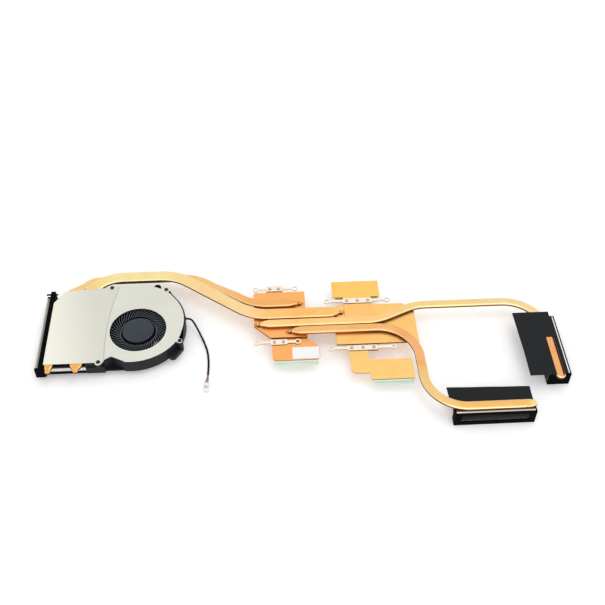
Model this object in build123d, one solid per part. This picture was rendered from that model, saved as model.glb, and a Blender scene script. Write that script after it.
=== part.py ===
"""Cooling assembly of a large laptop: a blower, three fin stacks, four flat heat pipes and two processor plates.

Millimetres. +X runs along the assembly towards the right fin stack, +Y to the back, +Z up.
The origin is under the middle of the assembly, on the surface that its outlet gaskets rest on.
"""
import os
from math import cos, hypot, radians, sin, tan

from build123d import *

# Levels above the resting surface
SEAT_Z = 12.5            # tops of the side fin stacks and processor plates, where the pipes lie
FRONT_SEAT_Z = 13.8      # top of the front fin stack, where its pipe is raised
FAN_BOTTOM_Z = 4.5
STACK_BOTTOM_Z = 2.6     # right and front fins stand on their gaskets

# Heat pipes, flattened
PIPE_T = 3.0
NARROW_PIPE_W = 7.6      # a 6 mm tube
WIDE_PIPE_W = 10.7       # an 8 mm tube
PIPE_GAP = 0.15          # between the pair of pipes on the slope
STACKED_GAP = 0.1        # between pipes that cross over each other
PIPE_BEND_R = 40.0
TURN_R = 31.0            # right angle turns of the right and front pipes
FRONT_TURN_R = 30.5
WIDE_ENTRY_R = 29.0      # turn of the wide pipe onto the left fins
NARROW_ENTRY_R = 26.0
JOGGLE_R = 9.0
JOGGLE_RUN = 12.5        # length over which a pipe changes level
JOGGLE_LEAD = 2.2        # straight run between a bend and a change of level
CLIMB_LEAD = 7.0         # the same where the narrow pipe comes up beside the wide one
CLIMB_RUN = 21.0
TIP_TAPER = 7.6
SHORT_TAPER = 5.6        # at the ends on the left fins
TIP_SHOULDER = 0.58      # share of a taper where the tip is still most of the pipe's width
TIP_SHOULDER_SHARE = 0.74
TIP_NUB = 2.0
TIP_W = 2.6
TIP_T = 1.6

# Pipe routes in plan
WIDE_BUS_Y = 26.9        # the four runs across the plates
NARROW_BUS_Y = 38.2
RIGHT_BUS_Y = 16.8
FRONT_BUS_Y = 8.7
BEHIND_FAN_Y = 74.0
NARROW_FIN_X = -194.5    # pipes along the left fins
FIN_PIPE_PITCH = 21.0
SLOPE_ANGLE = 36.7       # of the pair between the fan and the plates
WIDE_SLOPE_START_X = -100.5
NARROW_CUT_Y = 49.5      # where the narrow pipe leaves the left fins
NARROW_END_X = -8.0
WIDE_END_X = 25.2
RIGHT_PIPE_START_X = -24.4
FRONT_PIPE_START_X = 0.5
RIGHT_PIPE_Y = 31.0      # of its long run to the right stack
RIGHT_PIPE_SLOPE = 24.5
RIGHT_PIPE_SHIFT_X = 62.8
RIGHT_PIPE_X = 195.5     # along the right fins
RIGHT_PIPE_END_Y = -45.6
FRONT_PIPE_X = 91.2      # of its run to the front
FRONT_PIPE_Y = -71.9     # along the front fins
FRONT_RISE_Y = -26.5

# Blower
FAN_X, FAN_Y = -128.1, 14.5
VOLUTE_X, VOLUTE_Y = -131.7, 22.4
VOLUTE_R = 40.2
INTAKE_R = 22.3
COVER_T = 0.4
COVER_LEFT_X = -198.3
COVER_FRONT_Y = -17.1
COVER_CUT_X, COVER_CUT_Y = -190.2, 46.5
COVER_BACK_SLOPE = 3.7
COVER_STEP = 0.2         # half shear step between the duct and the fan
COVER_STEP_R = 250.0
COVER_STEP_X, COVER_STEP_Y = -153.1, 5.0
TONGUE_X, TONGUE_Y = -147.1, -11.7
TONGUE_LEFT, TONGUE_RIGHT = 9.0, 10.8    # reach of the notch before the tongue to either side
TONGUE_DROP = 6.0
COVER_TABS_R = [2.8, 2.1, 2.8, 2.8]
COVER_TAB_REACH = 2.5
COVER_SCREWS = [(-156.4, -17.0), (-94.7, 1.2), (-107.9, 56.5), (-152.5, 60.7)]
SCREW_SHANK_R = 0.75
SCREW_HEAD_R = 1.6
SCREW_HEAD_T = 0.6
SCREW_LENGTH = 5.0
SCREW_CLEAR = 0.1
WALL_INSET = -0.4        # the housing stands out past the cover
WALL_T = 1.2
BASE_T = 1.2
BOSS_R = 2.4
BOSS_WEB = 4.0           # how far a screw boss reaches in to the wall
BOSS_H = 6.2
RIB_Y, RIB_H = -18.6, 7.0     # front rib beside the left fins
RIB_PAST = 4.4           # how far the rib runs past the front left screw
MOTOR_SEAT_R = 12.8
LOWER_INTAKE_R = 21.5
SPOKES = 4
SPOKE_W = 3.0
LUGS = [(-100.5, -6.6), (-116.5, 66.6)]
LUG_R = 2.9
LUG_HOLE_R = 1.3
LUG_T = 4.0
LUG_RISE = 0.5
PIPE_CLEAR = 0.5         # of the notch in the housing round the wide pipe

# Rotor and motor
HUB_R = 12.6
HUB_T = 1.0
HUB_TOP_GAP = 1.0        # hub top below the cover
HUB_BOSS_R = 2.2
HUB_BOSS_T = 1.4
ROOT_RING_R = 14.7       # ring round the hub that the blades start from
ROOT_RING_W = 1.0
ROOT_RING_T = 1.0
ROOT_DROP = 2.0          # of that ring below the hub top
ROTOR_R = 27.6
ROTOR_FLOOR_GAP = 1.4    # rotor above the housing floor
BLADES = 47
BLADE_T = 0.5
BLADE_TOP_GAP = 1.2
BLADE_SWEEP = 42.0
BLADE_BOW = 1.9
BLADE_RING_R = 20.0
BLADE_RING_W = 1.2
BLADE_RING_T = 0.9
YOKE_T = 0.9
MAGNET_T = 1.2
SHAFT_R = 1.0
SHAFT_CLEAR = 0.05
SLEEVE_T = 1.5
BEARING_TUBE_T = 0.9
AIR_GAP = 0.5
POLES = 6
POLE_W = 1.8
SHOE_T = 1.3
SHOE_ANGLE = 46.0
CORE_RING_T = 1.7
CORE_T = 3.8
COIL_T = 0.8
BOARD_T = 0.6
BOARD_CLEAR = 0.2
STATOR_STAND = 1.8       # stator core above the board

# Fin stacks
FIN_PITCH = 1.5
FIN_T = 0.35
FIN_SKIN = 0.45
LEFT_STACK_L, LEFT_STACK_D = 72.5, 39.1
LEFT_STACK_X, LEFT_STACK_FRONT_Y = -205.6, -17.6
RIGHT_STACK_L, RIGHT_STACK_D = 57.0, 15.8
RIGHT_STACK_X, RIGHT_STACK_FRONT_Y = 203.8, -43.0
FRONT_STACK_L, FRONT_STACK_D = 58.5, 18.4
FRONT_STACK_LEFT_X, FRONT_STACK_Y = 111.0, -77.0

# Gaskets, flaps and tape
GASKET_T = 1.2
GASKET_LIP = 2.3         # of the outlet frame over the window
GASKET_SILL = 1.4        # and under it
GASKET_SIDE_LIP = 3.6
RIGHT_GASKET_D = 15.8
FRONT_GASKET_D = 6.0
LEFT_GASKET_X0, LEFT_GASKET_X1 = -205.6, -198.4
LEFT_STRIP_W = 3.8
LEFT_END_T = 2.0
LEFT_TAIL = 2.6          # of the top strip past the back end
LEFT_BAR_OUT = 2.2       # of the bar across that end
LEFT_BAR_T = 1.2
LEFT_BAR_H = 1.4
LEFT_CHEEK_Z = 3.0       # underside of the end cheeks
LEFT_FOOT_IN = 3.0
LEFT_APRON_H = 2.8       # of the strip low along the front of the fins
LEFT_APRON_T = 0.6
LEFT_APRON_GAP = 0.2     # of that strip before the housing
FLAP_T = 0.25
RIGHT_FLAP_X0, RIGHT_FLAP_X1 = 172.0, 200.0
RIGHT_FLAP_Y0, RIGHT_FLAP_Y1 = -46.4, 16.5
RIGHT_SLOT_Y = -9.3
FRONT_FLAP_X0 = 107.5
FRONT_FLAP_X1 = FRONT_STACK_LEFT_X + FRONT_STACK_L     # the flap ends with the fins
FRONT_FLAP_Y1 = -55.0
EDGE_TAPE_X1 = 202.8
FLAP_FOAM_X, FLAP_FOAM_W = 188.4, 2.6
FLAP_FOAM_Y1 = 1.0

# Processor plates, spreaders and what is under them
PLATE_T = 1.5
PLATE_CORNER_R = 1.5
CPU_X0, CPU_X1, CPU_Y0, CPU_Y1 = -36.5, 5.5, 3.5, 52.3
CPU_CUT = 12.5
CPU_TAB_X0, CPU_TAB_X1, CPU_TAB_Y = -26.0, -12.5, 60.5
GPU_X0, GPU_X1, GPU_Y0, GPU_Y1 = 28.0, 93.0, -6.0, 35.2
GPU_CUT = 8.5
GPU_REAR_CUT = 2.5
SPREADER_T = 0.6
CPU_FRONT_X0, CPU_FRONT_X1, CPU_FRONT_Y = -22.7, 14.5, -18.5
CPU_FRONT_SLOPE_Y0, CPU_FRONT_SLOPE_Y1 = 2.0, -5.4    # where the front sheet slopes back beside the plate
GPU_REAR_X0, GPU_REAR_X1 = 28.3, 67.4
GPU_REAR_Y0, GPU_REAR_Y1 = 45.2, 63.0
GPU_NECK_X0, GPU_NECK_X1 = 36.8, 59.7
GPU_FRONT_X0, GPU_FRONT_NECK_X, GPU_FRONT_X1 = 37.5, 52.0, 85.5
GPU_FRONT_ARM_X = 60.5
GPU_FRONT_ARM_Y, GPU_FRONT_WING_Y1 = -12.0, -21.0
GPU_FRONT_NECK_Y, GPU_FRONT_Y = -34.0, -40.5
SPREADER_LAP = 2.6       # how far a spreader reaches under its plate
SPREADER_CORNER_R = 3.0
GPU_CORNER_R = 4.6       # of the front spreader's outer corner
BLOCK_T = 2.2
CPU_BLOCK = (26.0, 28.0)
GPU_BLOCK = (36.0, 35.0)
PAD_T = 2.0
PAD_INSET = 1.5
PAD_OUT = 1.0            # how far a pad shows in front of its spreader
FILM_T = 0.2
FILM_OUT = 2.4           # how far a film shows in front of its pad
FILM_SHIFT = 0.5
CPU_FILM_OUT = 4.0
CPU_FILM_SHIFT = 3.0
LABEL_T = 0.1
LABEL_X0, LABEL_X1, LABEL_Y0, LABEL_Y1 = -7.0, 14.0, -17.6, -6.0

# Spring clips, one pair on each plate, with holes at the corners of a rectangle
CLIP_T = 0.6
CLIP_W = 2.7
CLIP_PAD_W = 5.4
CLIP_PAD_END = 3.0       # of the wide middle past the last rivet
CLIP_RING_R = 2.6
CLIP_HOLE_R = 1.35
CPU_HOLES_X, CPU_HOLES_Y = 32.3, 57.2
CPU_CLIP_X, CPU_CLIP_Y = -18.45, 28.3
GPU_HOLES_X, GPU_HOLES_Y = 49.0, 49.8
GPU_CLIP_X, GPU_CLIP_Y = 48.0, 15.9
CPU_RIVETS_X = (-22.9, -15.8)
CPU_FRONT_RIVETS_X = (-20.7, -13.6)
GPU_RIVETS_X = (39.6, 48.4, 57.0)
RIVET_R = 0.9
RIVET_CLEAR = 0.02
RIVET_HEAD_R = 1.2
RIVET_HEAD_T = 0.5

# Fan lead: points chosen along its route, from the housing to the plug
SLEEVE_R = 0.8
WIRES_R = 0.5
LEAD_BOSS = (3.0, 2.8, 2.6)
LEAD_BEND_SHARE = 0.45   # of the shorter run beside a bend
SLEEVE_ROUTE = [(-91.4, 29.8, 9.4), (-88.2, 29.8, 9.4), (-85.4, 27.6, 7.6), (-82.6, 23.0, 4.8),
                (-79.4, 16.6, 2.3), (-76.2, 8.8, 1.1), (-74.0, 1.0, 0.9), (-73.2, -6.8, 0.9),
                (-73.0, -14.4, 0.9), (-73.4, -22.0, 0.9)]
WIRES_ROUTE = [(-73.4, -22.0, 0.9), (-73.56, -25.0, 0.9), (-74.4, -28.2, 1.0), (-74.4, -31.0, 1.0)]
PLUG_W, PLUG_L, PLUG_T = 5.2, 7.6, 2.8
PLUG_RIB = 0.6

# Worked out from the above
PIPE_TOP_Z = SEAT_Z + PIPE_T
PIPE_Z = SEAT_Z + PIPE_T / 2
LOW_PIPE_Z = PIPE_Z - PIPE_T - STACKED_GAP
FRONT_PIPE_Z = FRONT_SEAT_Z + PIPE_T / 2
COVER_Z = PIPE_TOP_Z
PLATE_BOTTOM_Z = SEAT_Z - PLATE_T
FLOOR_Z = FAN_BOTTOM_Z + BASE_T
ROTOR_Z = FLOOR_Z + ROTOR_FLOOR_GAP
HUB_TOP_Z = COVER_Z + COVER_STEP - HUB_TOP_GAP
HUB_ROOF_Z = HUB_TOP_Z - HUB_T
BLADE_TOP_Z = COVER_Z + COVER_STEP - BLADE_TOP_GAP
YOKE_R = HUB_R - HUB_T
MAGNET_R = YOKE_R - YOKE_T
STATOR_R = MAGNET_R - MAGNET_T - AIR_GAP
SLEEVE_OUT_R = SHAFT_R + SHAFT_CLEAR + SLEEVE_T
BEARING_TUBE_R = SLEEVE_OUT_R + BEARING_TUBE_T
BOARD_TOP_Z = FLOOR_Z + BOARD_T
CORE_Z = BOARD_TOP_Z + STATOR_STAND
SLEEVE_TOP_Z = HUB_ROOF_Z - HUB_BOSS_T - BOARD_CLEAR
LEFT_STACK_BACK_Y = LEFT_STACK_FRONT_Y + LEFT_STACK_L
HOUSING_LEFT_X = LEFT_STACK_X + LEFT_STACK_D
WIDE_FIN_X = NARROW_FIN_X + FIN_PIPE_PITCH
RIVET_HOLE_R = RIVET_R + RIVET_CLEAR


def box(x0, x1, y0, y1, z0, z1):
    """A block between two corners."""
    return Pos((x0 + x1) / 2, (y0 + y1) / 2, (z0 + z1) / 2) * Box(x1 - x0, y1 - y0, z1 - z0)


def plate(sketch, z0, thickness):
    """A flat sheet with the sketch as its outline."""
    return Pos(0, 0, z0) * extrude(sketch, thickness)


def ring(x, y, outer, inner, z0, height):
    """An upright tube."""
    return Pos(x, y, z0) * extrude(Circle(outer) - Circle(inner), height)


def rod(x, y, radius, z0, height):
    """An upright cylinder."""
    return Pos(x, y, z0) * extrude(Circle(radius), height)


def panel(x0, x1, y0, y1):
    """A rectangle between two corners, as a sketch."""
    return Pos((x0 + x1) / 2, (y0 + y1) / 2) * Rectangle(x1 - x0, y1 - y0)


def rounded(sketch, radius):
    """The sketch with all its corners rounded."""
    return fillet(sketch.vertices(), radius)


def pipe_section(width, thickness, plane):
    """A flat oval across a pipe, its long way level."""
    return plane * SlotOverall(width, thickness)


def rounded_end(end, outward, width):
    """The closed end of a flattened pipe, half round in plan."""
    across = Plane(origin=end, x_dir=(-outward.Y, outward.X, 0), z_dir=outward)
    half = across * (SlotOverall(width, PIPE_T) & Pos(width / 4, 0) * Rectangle(width / 2, PIPE_T))
    return revolve(half, Axis(end, (0, 0, -1)), 180)


def crimped_tip(end, outward, width, length):
    """The tapered end of a flattened pipe, pointing outward and pinched shut low on its seat."""
    across = Vector(-outward.Y, outward.X, 0)
    start = Plane(origin=end, x_dir=across, z_dir=outward)
    shoulder = start.offset(length * TIP_SHOULDER)
    pinch_middle = end + outward * length - Vector(0, 0, (PIPE_T - TIP_T) / 2)
    pinch = Plane(origin=pinch_middle, x_dir=across, z_dir=outward)
    taper = loft([pipe_section(width, PIPE_T, start),
                  pipe_section(width * TIP_SHOULDER_SHARE, PIPE_T, shoulder),
                  pipe_section(TIP_W, TIP_T, pinch)], ruled=True)
    nub = extrude(pipe_section(TIP_W, TIP_T, pinch), TIP_NUB, dir=outward)
    return taper + nub


def pipe_end(end, outward, width, taper):
    """A crimped tip of a given taper, or a rounded end where there is none."""
    return crimped_tip(end, outward, width, taper) if taper else rounded_end(end, outward, width)


def heat_pipe(points, radii, width, first_taper=TIP_TAPER, last_taper=TIP_TAPER):
    """A flattened pipe along straight runs and arcs, closed at both ends."""
    path = FilletPolyline(*points, radius=radii)
    first, last = path % 0, path % 1
    section_plane = Plane(origin=path @ 0, x_dir=(-first.Y, first.X, 0), z_dir=first)
    body = sweep(pipe_section(width, PIPE_T, section_plane), path=path)
    return body + pipe_end(path @ 0, -first, width, first_taper) + pipe_end(path @ 1, last, width, last_taper)


def along(point, angle, distance, z):
    """The point at a distance from another in plan, at its own level."""
    return (point[0] + distance * cos(radians(angle)), point[1] + distance * sin(radians(angle)), z)


def tangent_length(radius, turn):
    """How much of a run a bend takes up."""
    return radius * tan(radians(turn) / 2)


# Wide pipe: left fins, round behind the fan, down the slope and across the plates
slope_run = (BEHIND_FAN_Y - WIDE_BUS_Y) / tan(radians(SLOPE_ANGLE))
wide_bend = (WIDE_SLOPE_START_X, BEHIND_FAN_Y)
wide_pipe = heat_pipe(
    [(WIDE_FIN_X, COVER_FRONT_Y, PIPE_Z), (WIDE_FIN_X, BEHIND_FAN_Y, PIPE_Z), (*wide_bend, PIPE_Z),
     (WIDE_SLOPE_START_X + slope_run, WIDE_BUS_Y, PIPE_Z), (WIDE_END_X, WIDE_BUS_Y, PIPE_Z)],
    [WIDE_ENTRY_R, PIPE_BEND_R, PIPE_BEND_R], WIDE_PIPE_W, first_taper=SHORT_TAPER)

# Narrow pipe: beside the wide one, but passing under it behind the fan
pair_offset = (WIDE_PIPE_W + NARROW_PIPE_W) / 2 + PIPE_GAP
narrow_bend = (WIDE_SLOPE_START_X + pair_offset / sin(radians(SLOPE_ANGLE)), BEHIND_FAN_Y)
narrow_cut = (NARROW_FIN_X, NARROW_CUT_Y)
narrow_corner = (NARROW_FIN_X + BEHIND_FAN_Y - NARROW_CUT_Y, BEHIND_FAN_Y)
narrow_slope_x = narrow_bend[0] + (BEHIND_FAN_Y - NARROW_BUS_Y) / tan(radians(SLOPE_ANGLE))
dive = tangent_length(NARROW_ENTRY_R, 45) + JOGGLE_LEAD
climb = tangent_length(PIPE_BEND_R, SLOPE_ANGLE) + CLIMB_LEAD
narrow_pipe = heat_pipe(
    [(NARROW_FIN_X, COVER_FRONT_Y, PIPE_Z), (*narrow_cut, PIPE_Z), along(narrow_cut, 45, dive, PIPE_Z),
     along(narrow_cut, 45, dive + JOGGLE_RUN, LOW_PIPE_Z), (*narrow_corner, LOW_PIPE_Z),
     (*narrow_bend, LOW_PIPE_Z), along(narrow_bend, -SLOPE_ANGLE, climb, LOW_PIPE_Z),
     along(narrow_bend, -SLOPE_ANGLE, climb + CLIMB_RUN, PIPE_Z),
     (narrow_slope_x, NARROW_BUS_Y, PIPE_Z), (NARROW_END_X, NARROW_BUS_Y, PIPE_Z)],
    [NARROW_ENTRY_R, JOGGLE_R, JOGGLE_R, NARROW_ENTRY_R / 2, PIPE_BEND_R, JOGGLE_R, JOGGLE_R, PIPE_BEND_R],
    NARROW_PIPE_W, first_taper=SHORT_TAPER)

# Right pipe: across the plates, a shallow shift to the back, then round onto the right fins
shift_run = (RIGHT_PIPE_Y - RIGHT_BUS_Y) / tan(radians(RIGHT_PIPE_SLOPE))
right_pipe = heat_pipe(
    [(RIGHT_PIPE_START_X, RIGHT_BUS_Y, PIPE_Z), (RIGHT_PIPE_SHIFT_X, RIGHT_BUS_Y, PIPE_Z),
     (RIGHT_PIPE_SHIFT_X + shift_run, RIGHT_PIPE_Y, PIPE_Z), (RIGHT_PIPE_X, RIGHT_PIPE_Y, PIPE_Z),
     (RIGHT_PIPE_X, RIGHT_PIPE_END_Y, PIPE_Z)],
    [PIPE_BEND_R, PIPE_BEND_R, TURN_R], NARROW_PIPE_W, last_taper=0)

# Front pipe: across the plates, towards the front, up a step and along the front fins
front_pipe = heat_pipe(
    [(FRONT_PIPE_START_X, FRONT_BUS_Y, PIPE_Z), (FRONT_PIPE_X, FRONT_BUS_Y, PIPE_Z),
     (FRONT_PIPE_X, FRONT_RISE_Y, PIPE_Z), (FRONT_PIPE_X, FRONT_RISE_Y - JOGGLE_RUN / 2, FRONT_PIPE_Z),
     (FRONT_PIPE_X, FRONT_PIPE_Y, FRONT_PIPE_Z),
     (FRONT_STACK_LEFT_X + FRONT_STACK_L - TIP_TAPER, FRONT_PIPE_Y, FRONT_PIPE_Z)],
    [TURN_R, JOGGLE_R, JOGGLE_R, FRONT_TURN_R], NARROW_PIPE_W)


def fan_outline(left, inset):
    """The outline of the blower and its duct from the left edge on, drawn in by an inset."""
    back = radians(COVER_BACK_SLOPE)
    tangent_x, tangent_y = VOLUTE_X - VOLUTE_R * sin(back), VOLUTE_Y + VOLUTE_R * cos(back)
    cut_back_y = tangent_y - (tangent_x - COVER_CUT_X) * tan(back)
    duct = Polygon((COVER_LEFT_X, COVER_FRONT_Y), (TONGUE_X, COVER_FRONT_Y), (VOLUTE_X, VOLUTE_Y),
                   (tangent_x, tangent_y), (COVER_CUT_X, cut_back_y), (COVER_LEFT_X, COVER_CUT_Y), align=None)
    notch = Polygon((TONGUE_X - TONGUE_LEFT, COVER_FRONT_Y), (TONGUE_X, TONGUE_Y),
                    (TONGUE_X + TONGUE_RIGHT, COVER_FRONT_Y), (TONGUE_X, COVER_FRONT_Y - TONGUE_DROP), align=None)
    whole = duct + Pos(VOLUTE_X, VOLUTE_Y) * Circle(VOLUTE_R) - notch
    if inset:
        whole = offset(whole, -inset)
    return whole & panel(left, VOLUTE_X + 2 * VOLUTE_R, VOLUTE_Y - 2 * VOLUTE_R, VOLUTE_Y + 2 * VOLUTE_R)


def fan_side():
    """The region on the fan's side of the step in the cover."""
    return Pos(COVER_STEP_X + COVER_STEP_R, COVER_STEP_Y) * Circle(COVER_STEP_R)


def cover_base(x, y):
    """The underside of the cover at a point."""
    raised = hypot(x - COVER_STEP_X - COVER_STEP_R, y - COVER_STEP_Y) < COVER_STEP_R
    return COVER_Z + COVER_STEP if raised else COVER_Z


def reach_in(x, y, radius, reach):
    """A round boss drawn out towards the middle of the volute, as a sketch."""
    share = reach / hypot(VOLUTE_X - x, VOLUTE_Y - y)
    inner = Pos(x + share * (VOLUTE_X - x), y + share * (VOLUTE_Y - y)) * Circle(radius)
    return make_hull((Pos(x, y) * Circle(radius)).edges() + inner.edges())


# Cover: one sheet with a half shear step, the intake and four screw tabs
cover_sheet = fan_outline(COVER_LEFT_X, 0)
for (screw_x, screw_y), tab_r in zip(COVER_SCREWS, COVER_TABS_R):
    cover_sheet += reach_in(screw_x, screw_y, tab_r, COVER_TAB_REACH)
cover_sheet -= Pos(FAN_X, FAN_Y) * Circle(INTAKE_R)
for screw_x, screw_y in COVER_SCREWS:
    cover_sheet -= Pos(screw_x, screw_y) * Circle(SCREW_SHANK_R + SCREW_CLEAR)
fan_cover = plate(cover_sheet - fan_side(), COVER_Z, COVER_T) + plate(
    cover_sheet & fan_side(), COVER_Z + COVER_STEP, COVER_T)

# Housing: volute wall, floor with the lower intake and motor seat, bosses, lugs and bearing tube
housing_outline = fan_outline(HOUSING_LEFT_X, WALL_INSET)
wall_strip = housing_outline - fan_outline(HOUSING_LEFT_X - WALL_T, WALL_INSET + WALL_T)
inside_wall = fan_outline(HOUSING_LEFT_X, WALL_INSET + WALL_T / 2)
lower_intake = Circle(LOWER_INTAKE_R) - Circle(MOTOR_SEAT_R)
for turn in range(SPOKES):
    lower_intake -= Rot(0, 0, turn * 360 / SPOKES + 45) * (
        Pos(LOWER_INTAKE_R / 2, 0) * Rectangle(LOWER_INTAKE_R + MOTOR_SEAT_R, SPOKE_W))
fan_housing = plate(housing_outline - Pos(FAN_X, FAN_Y) * lower_intake, FAN_BOTTOM_Z, BASE_T)
fan_housing += plate(wall_strip, FAN_BOTTOM_Z, COVER_Z - FAN_BOTTOM_Z)
fan_housing += box(COVER_SCREWS[0][0], TONGUE_X + TONGUE_RIGHT, COVER_FRONT_Y, TONGUE_Y, FAN_BOTTOM_Z, FLOOR_Z)
fan_housing += box(HOUSING_LEFT_X, COVER_SCREWS[0][0] + RIB_PAST, RIB_Y, COVER_FRONT_Y + WALL_T,
                   FAN_BOTTOM_Z, FAN_BOTTOM_Z + RIB_H)
fan_housing += plate(wall_strip & fan_side(), FAN_BOTTOM_Z, COVER_Z + COVER_STEP - FAN_BOTTOM_Z)
for screw_x, screw_y in COVER_SCREWS:
    boss = reach_in(screw_x, screw_y, BOSS_R, BOSS_WEB) - inside_wall
    fan_housing += plate(boss, cover_base(screw_x, screw_y) - BOSS_H, BOSS_H)
for lug_x, lug_y in LUGS:
    lug = reach_in(lug_x, lug_y, LUG_R, VOLUTE_R / 2) - inside_wall
    fan_housing += plate(lug, FAN_BOTTOM_Z + LUG_RISE, LUG_T)
lug_web = make_hull((Pos(*COVER_SCREWS[1]) * Circle(BOSS_R)).edges() + (Pos(*LUGS[0]) * Circle(LUG_R)).edges())
fan_housing += plate(lug_web - inside_wall, FAN_BOTTOM_Z + LUG_RISE, LUG_T)
lead_boss_x = SLEEVE_ROUTE[0][0]
fan_housing += box(lead_boss_x - LEAD_BOSS[0], lead_boss_x, SLEEVE_ROUTE[0][1] - LEAD_BOSS[1] / 2,
                   SLEEVE_ROUTE[0][1] + LEAD_BOSS[1] / 2, SLEEVE_ROUTE[0][2] - LEAD_BOSS[2] / 2,
                   SLEEVE_ROUTE[0][2] + LEAD_BOSS[2] / 2)
fan_housing += ring(FAN_X, FAN_Y, BEARING_TUBE_R, SLEEVE_OUT_R, FLOOR_Z, SLEEVE_TOP_Z - FLOOR_Z)
entry_x, entry_y = WIDE_FIN_X + WIDE_ENTRY_R, BEHIND_FAN_Y - WIDE_ENTRY_R
notch_half = WIDE_PIPE_W / 2 + PIPE_CLEAR
fan_housing -= ring(entry_x, entry_y, WIDE_ENTRY_R + notch_half, WIDE_ENTRY_R - notch_half,
                    SEAT_Z - PIPE_CLEAR, PIPE_T + PIPE_CLEAR)
for screw_x, screw_y in COVER_SCREWS:
    top = cover_base(screw_x, screw_y)
    fan_housing -= rod(screw_x, screw_y, SCREW_SHANK_R + SCREW_CLEAR, top - SCREW_LENGTH, SCREW_LENGTH)
for lug_x, lug_y in LUGS:
    fan_housing -= rod(lug_x, lug_y, LUG_HOLE_R, FAN_BOTTOM_Z, LUG_RISE + LUG_T + COVER_T)

cover_screws = [
    rod(x, y, SCREW_SHANK_R, cover_base(x, y) + COVER_T - SCREW_LENGTH, SCREW_LENGTH)
    + rod(x, y, SCREW_HEAD_R, cover_base(x, y) + COVER_T, SCREW_HEAD_T) for x, y in COVER_SCREWS]

# Impeller: hub cup with thin swept blades and a ring that ties them
hub = rod(FAN_X, FAN_Y, HUB_R, ROTOR_Z, HUB_TOP_Z - ROTOR_Z)
hub -= rod(FAN_X, FAN_Y, YOKE_R, ROTOR_Z, HUB_ROOF_Z - ROTOR_Z)
hub += ring(FAN_X, FAN_Y, HUB_BOSS_R, SHAFT_R, HUB_ROOF_Z - HUB_BOSS_T, HUB_BOSS_T)
blade_root = Vector(HUB_R - HUB_T / 2, 0)
blade_tip = Vector(ROTOR_R, 0).rotate(Axis.Z, -BLADE_SWEEP)
blade_side = (blade_tip - blade_root).normalized().rotate(Axis.Z, 90)
blade_line = ThreePointArc(blade_root, (blade_root + blade_tip) / 2 + blade_side * BLADE_BOW, blade_tip)
one_blade = trace(blade_line, BLADE_T)
blades = Sketch() + [Rot(0, 0, step * 360 / BLADES) * one_blade for step in range(BLADES)]
root_z = HUB_TOP_Z - ROOT_DROP
vanes = Pos(FAN_X, FAN_Y, ROTOR_Z) * extrude(blades, BLADE_TOP_Z - ROTOR_Z)
vanes -= rod(FAN_X, FAN_Y, ROOT_RING_R, root_z, ROOT_DROP)
impeller = hub + vanes
impeller += ring(FAN_X, FAN_Y, ROOT_RING_R, ROOT_RING_R - ROOT_RING_W, root_z - ROOT_RING_T, ROOT_RING_T)
impeller += ring(FAN_X, FAN_Y, BLADE_RING_R, BLADE_RING_R - BLADE_RING_W, ROTOR_Z, BLADE_RING_T)

# Rotor parts inside the hub, and the motor on the bearing tube
yoke_height = HUB_ROOF_Z - ROTOR_Z
rotor_yoke = ring(FAN_X, FAN_Y, YOKE_R, MAGNET_R, ROTOR_Z, yoke_height)
rotor_magnet = ring(FAN_X, FAN_Y, MAGNET_R, MAGNET_R - MAGNET_T, ROTOR_Z, yoke_height - YOKE_T)
rotor_shaft = rod(FAN_X, FAN_Y, SHAFT_R, FLOOR_Z + BOARD_CLEAR, HUB_ROOF_Z - FLOOR_Z - BOARD_CLEAR)
bearing_sleeve = ring(FAN_X, FAN_Y, SLEEVE_OUT_R, SHAFT_R + SHAFT_CLEAR, FLOOR_Z, SLEEVE_TOP_Z - FLOOR_Z)
motor_board = ring(FAN_X, FAN_Y, MAGNET_R, BEARING_TUBE_R + BOARD_CLEAR, FLOOR_Z, BOARD_T)

shoe_in_r = STATOR_R - SHOE_T
core_ring_r = BEARING_TUBE_R + CORE_RING_T
shoe_ring = Circle(STATOR_R) - Circle(shoe_in_r)
shoe_wedge = Polygon((0, 0), (2 * STATOR_R, -2 * STATOR_R * tan(radians(SHOE_ANGLE / 2))),
                     (2 * STATOR_R, 2 * STATOR_R * tan(radians(SHOE_ANGLE / 2))), align=None)
pole = (shoe_ring & shoe_wedge) + panel(BEARING_TUBE_R, STATOR_R - SHOE_T / 2, -POLE_W / 2, POLE_W / 2)
core = Circle(core_ring_r) + [Rot(0, 0, step * 360 / POLES) * pole for step in range(POLES)]
stator_core = Pos(FAN_X, FAN_Y) * plate(core - Circle(BEARING_TUBE_R), CORE_Z, CORE_T)
coil = box(core_ring_r, shoe_in_r, -POLE_W / 2 - COIL_T, POLE_W / 2 + COIL_T,
           CORE_Z - COIL_T, CORE_Z + CORE_T + COIL_T)
coil -= box(0, STATOR_R, -POLE_W / 2, POLE_W / 2, CORE_Z, CORE_Z + CORE_T)
coil -= rod(0, 0, core_ring_r, 0, COVER_Z)
coil &= rod(0, 0, shoe_in_r, 0, COVER_Z)
stator_coils = [Pos(FAN_X, FAN_Y) * Rot(0, 0, step * 360 / POLES) * coil for step in range(POLES)]


def fin_stack(length, depth, z0, z1):
    """A row of fins whose folded edges make the top and bottom, along X, open along Y, with its outlet at y = 0."""
    height = z1 - z0
    slots = int((length - FIN_T) / FIN_PITCH)
    face = Rectangle(length, height)
    slot = Rectangle(FIN_PITCH - FIN_T, height - 2 * FIN_SKIN)
    face -= [Pos((step - (slots - 1) / 2) * FIN_PITCH, 0) * slot for step in range(slots)]
    return Pos(0, depth, (z0 + z1) / 2) * extrude(Plane.XZ * face, depth)


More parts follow.
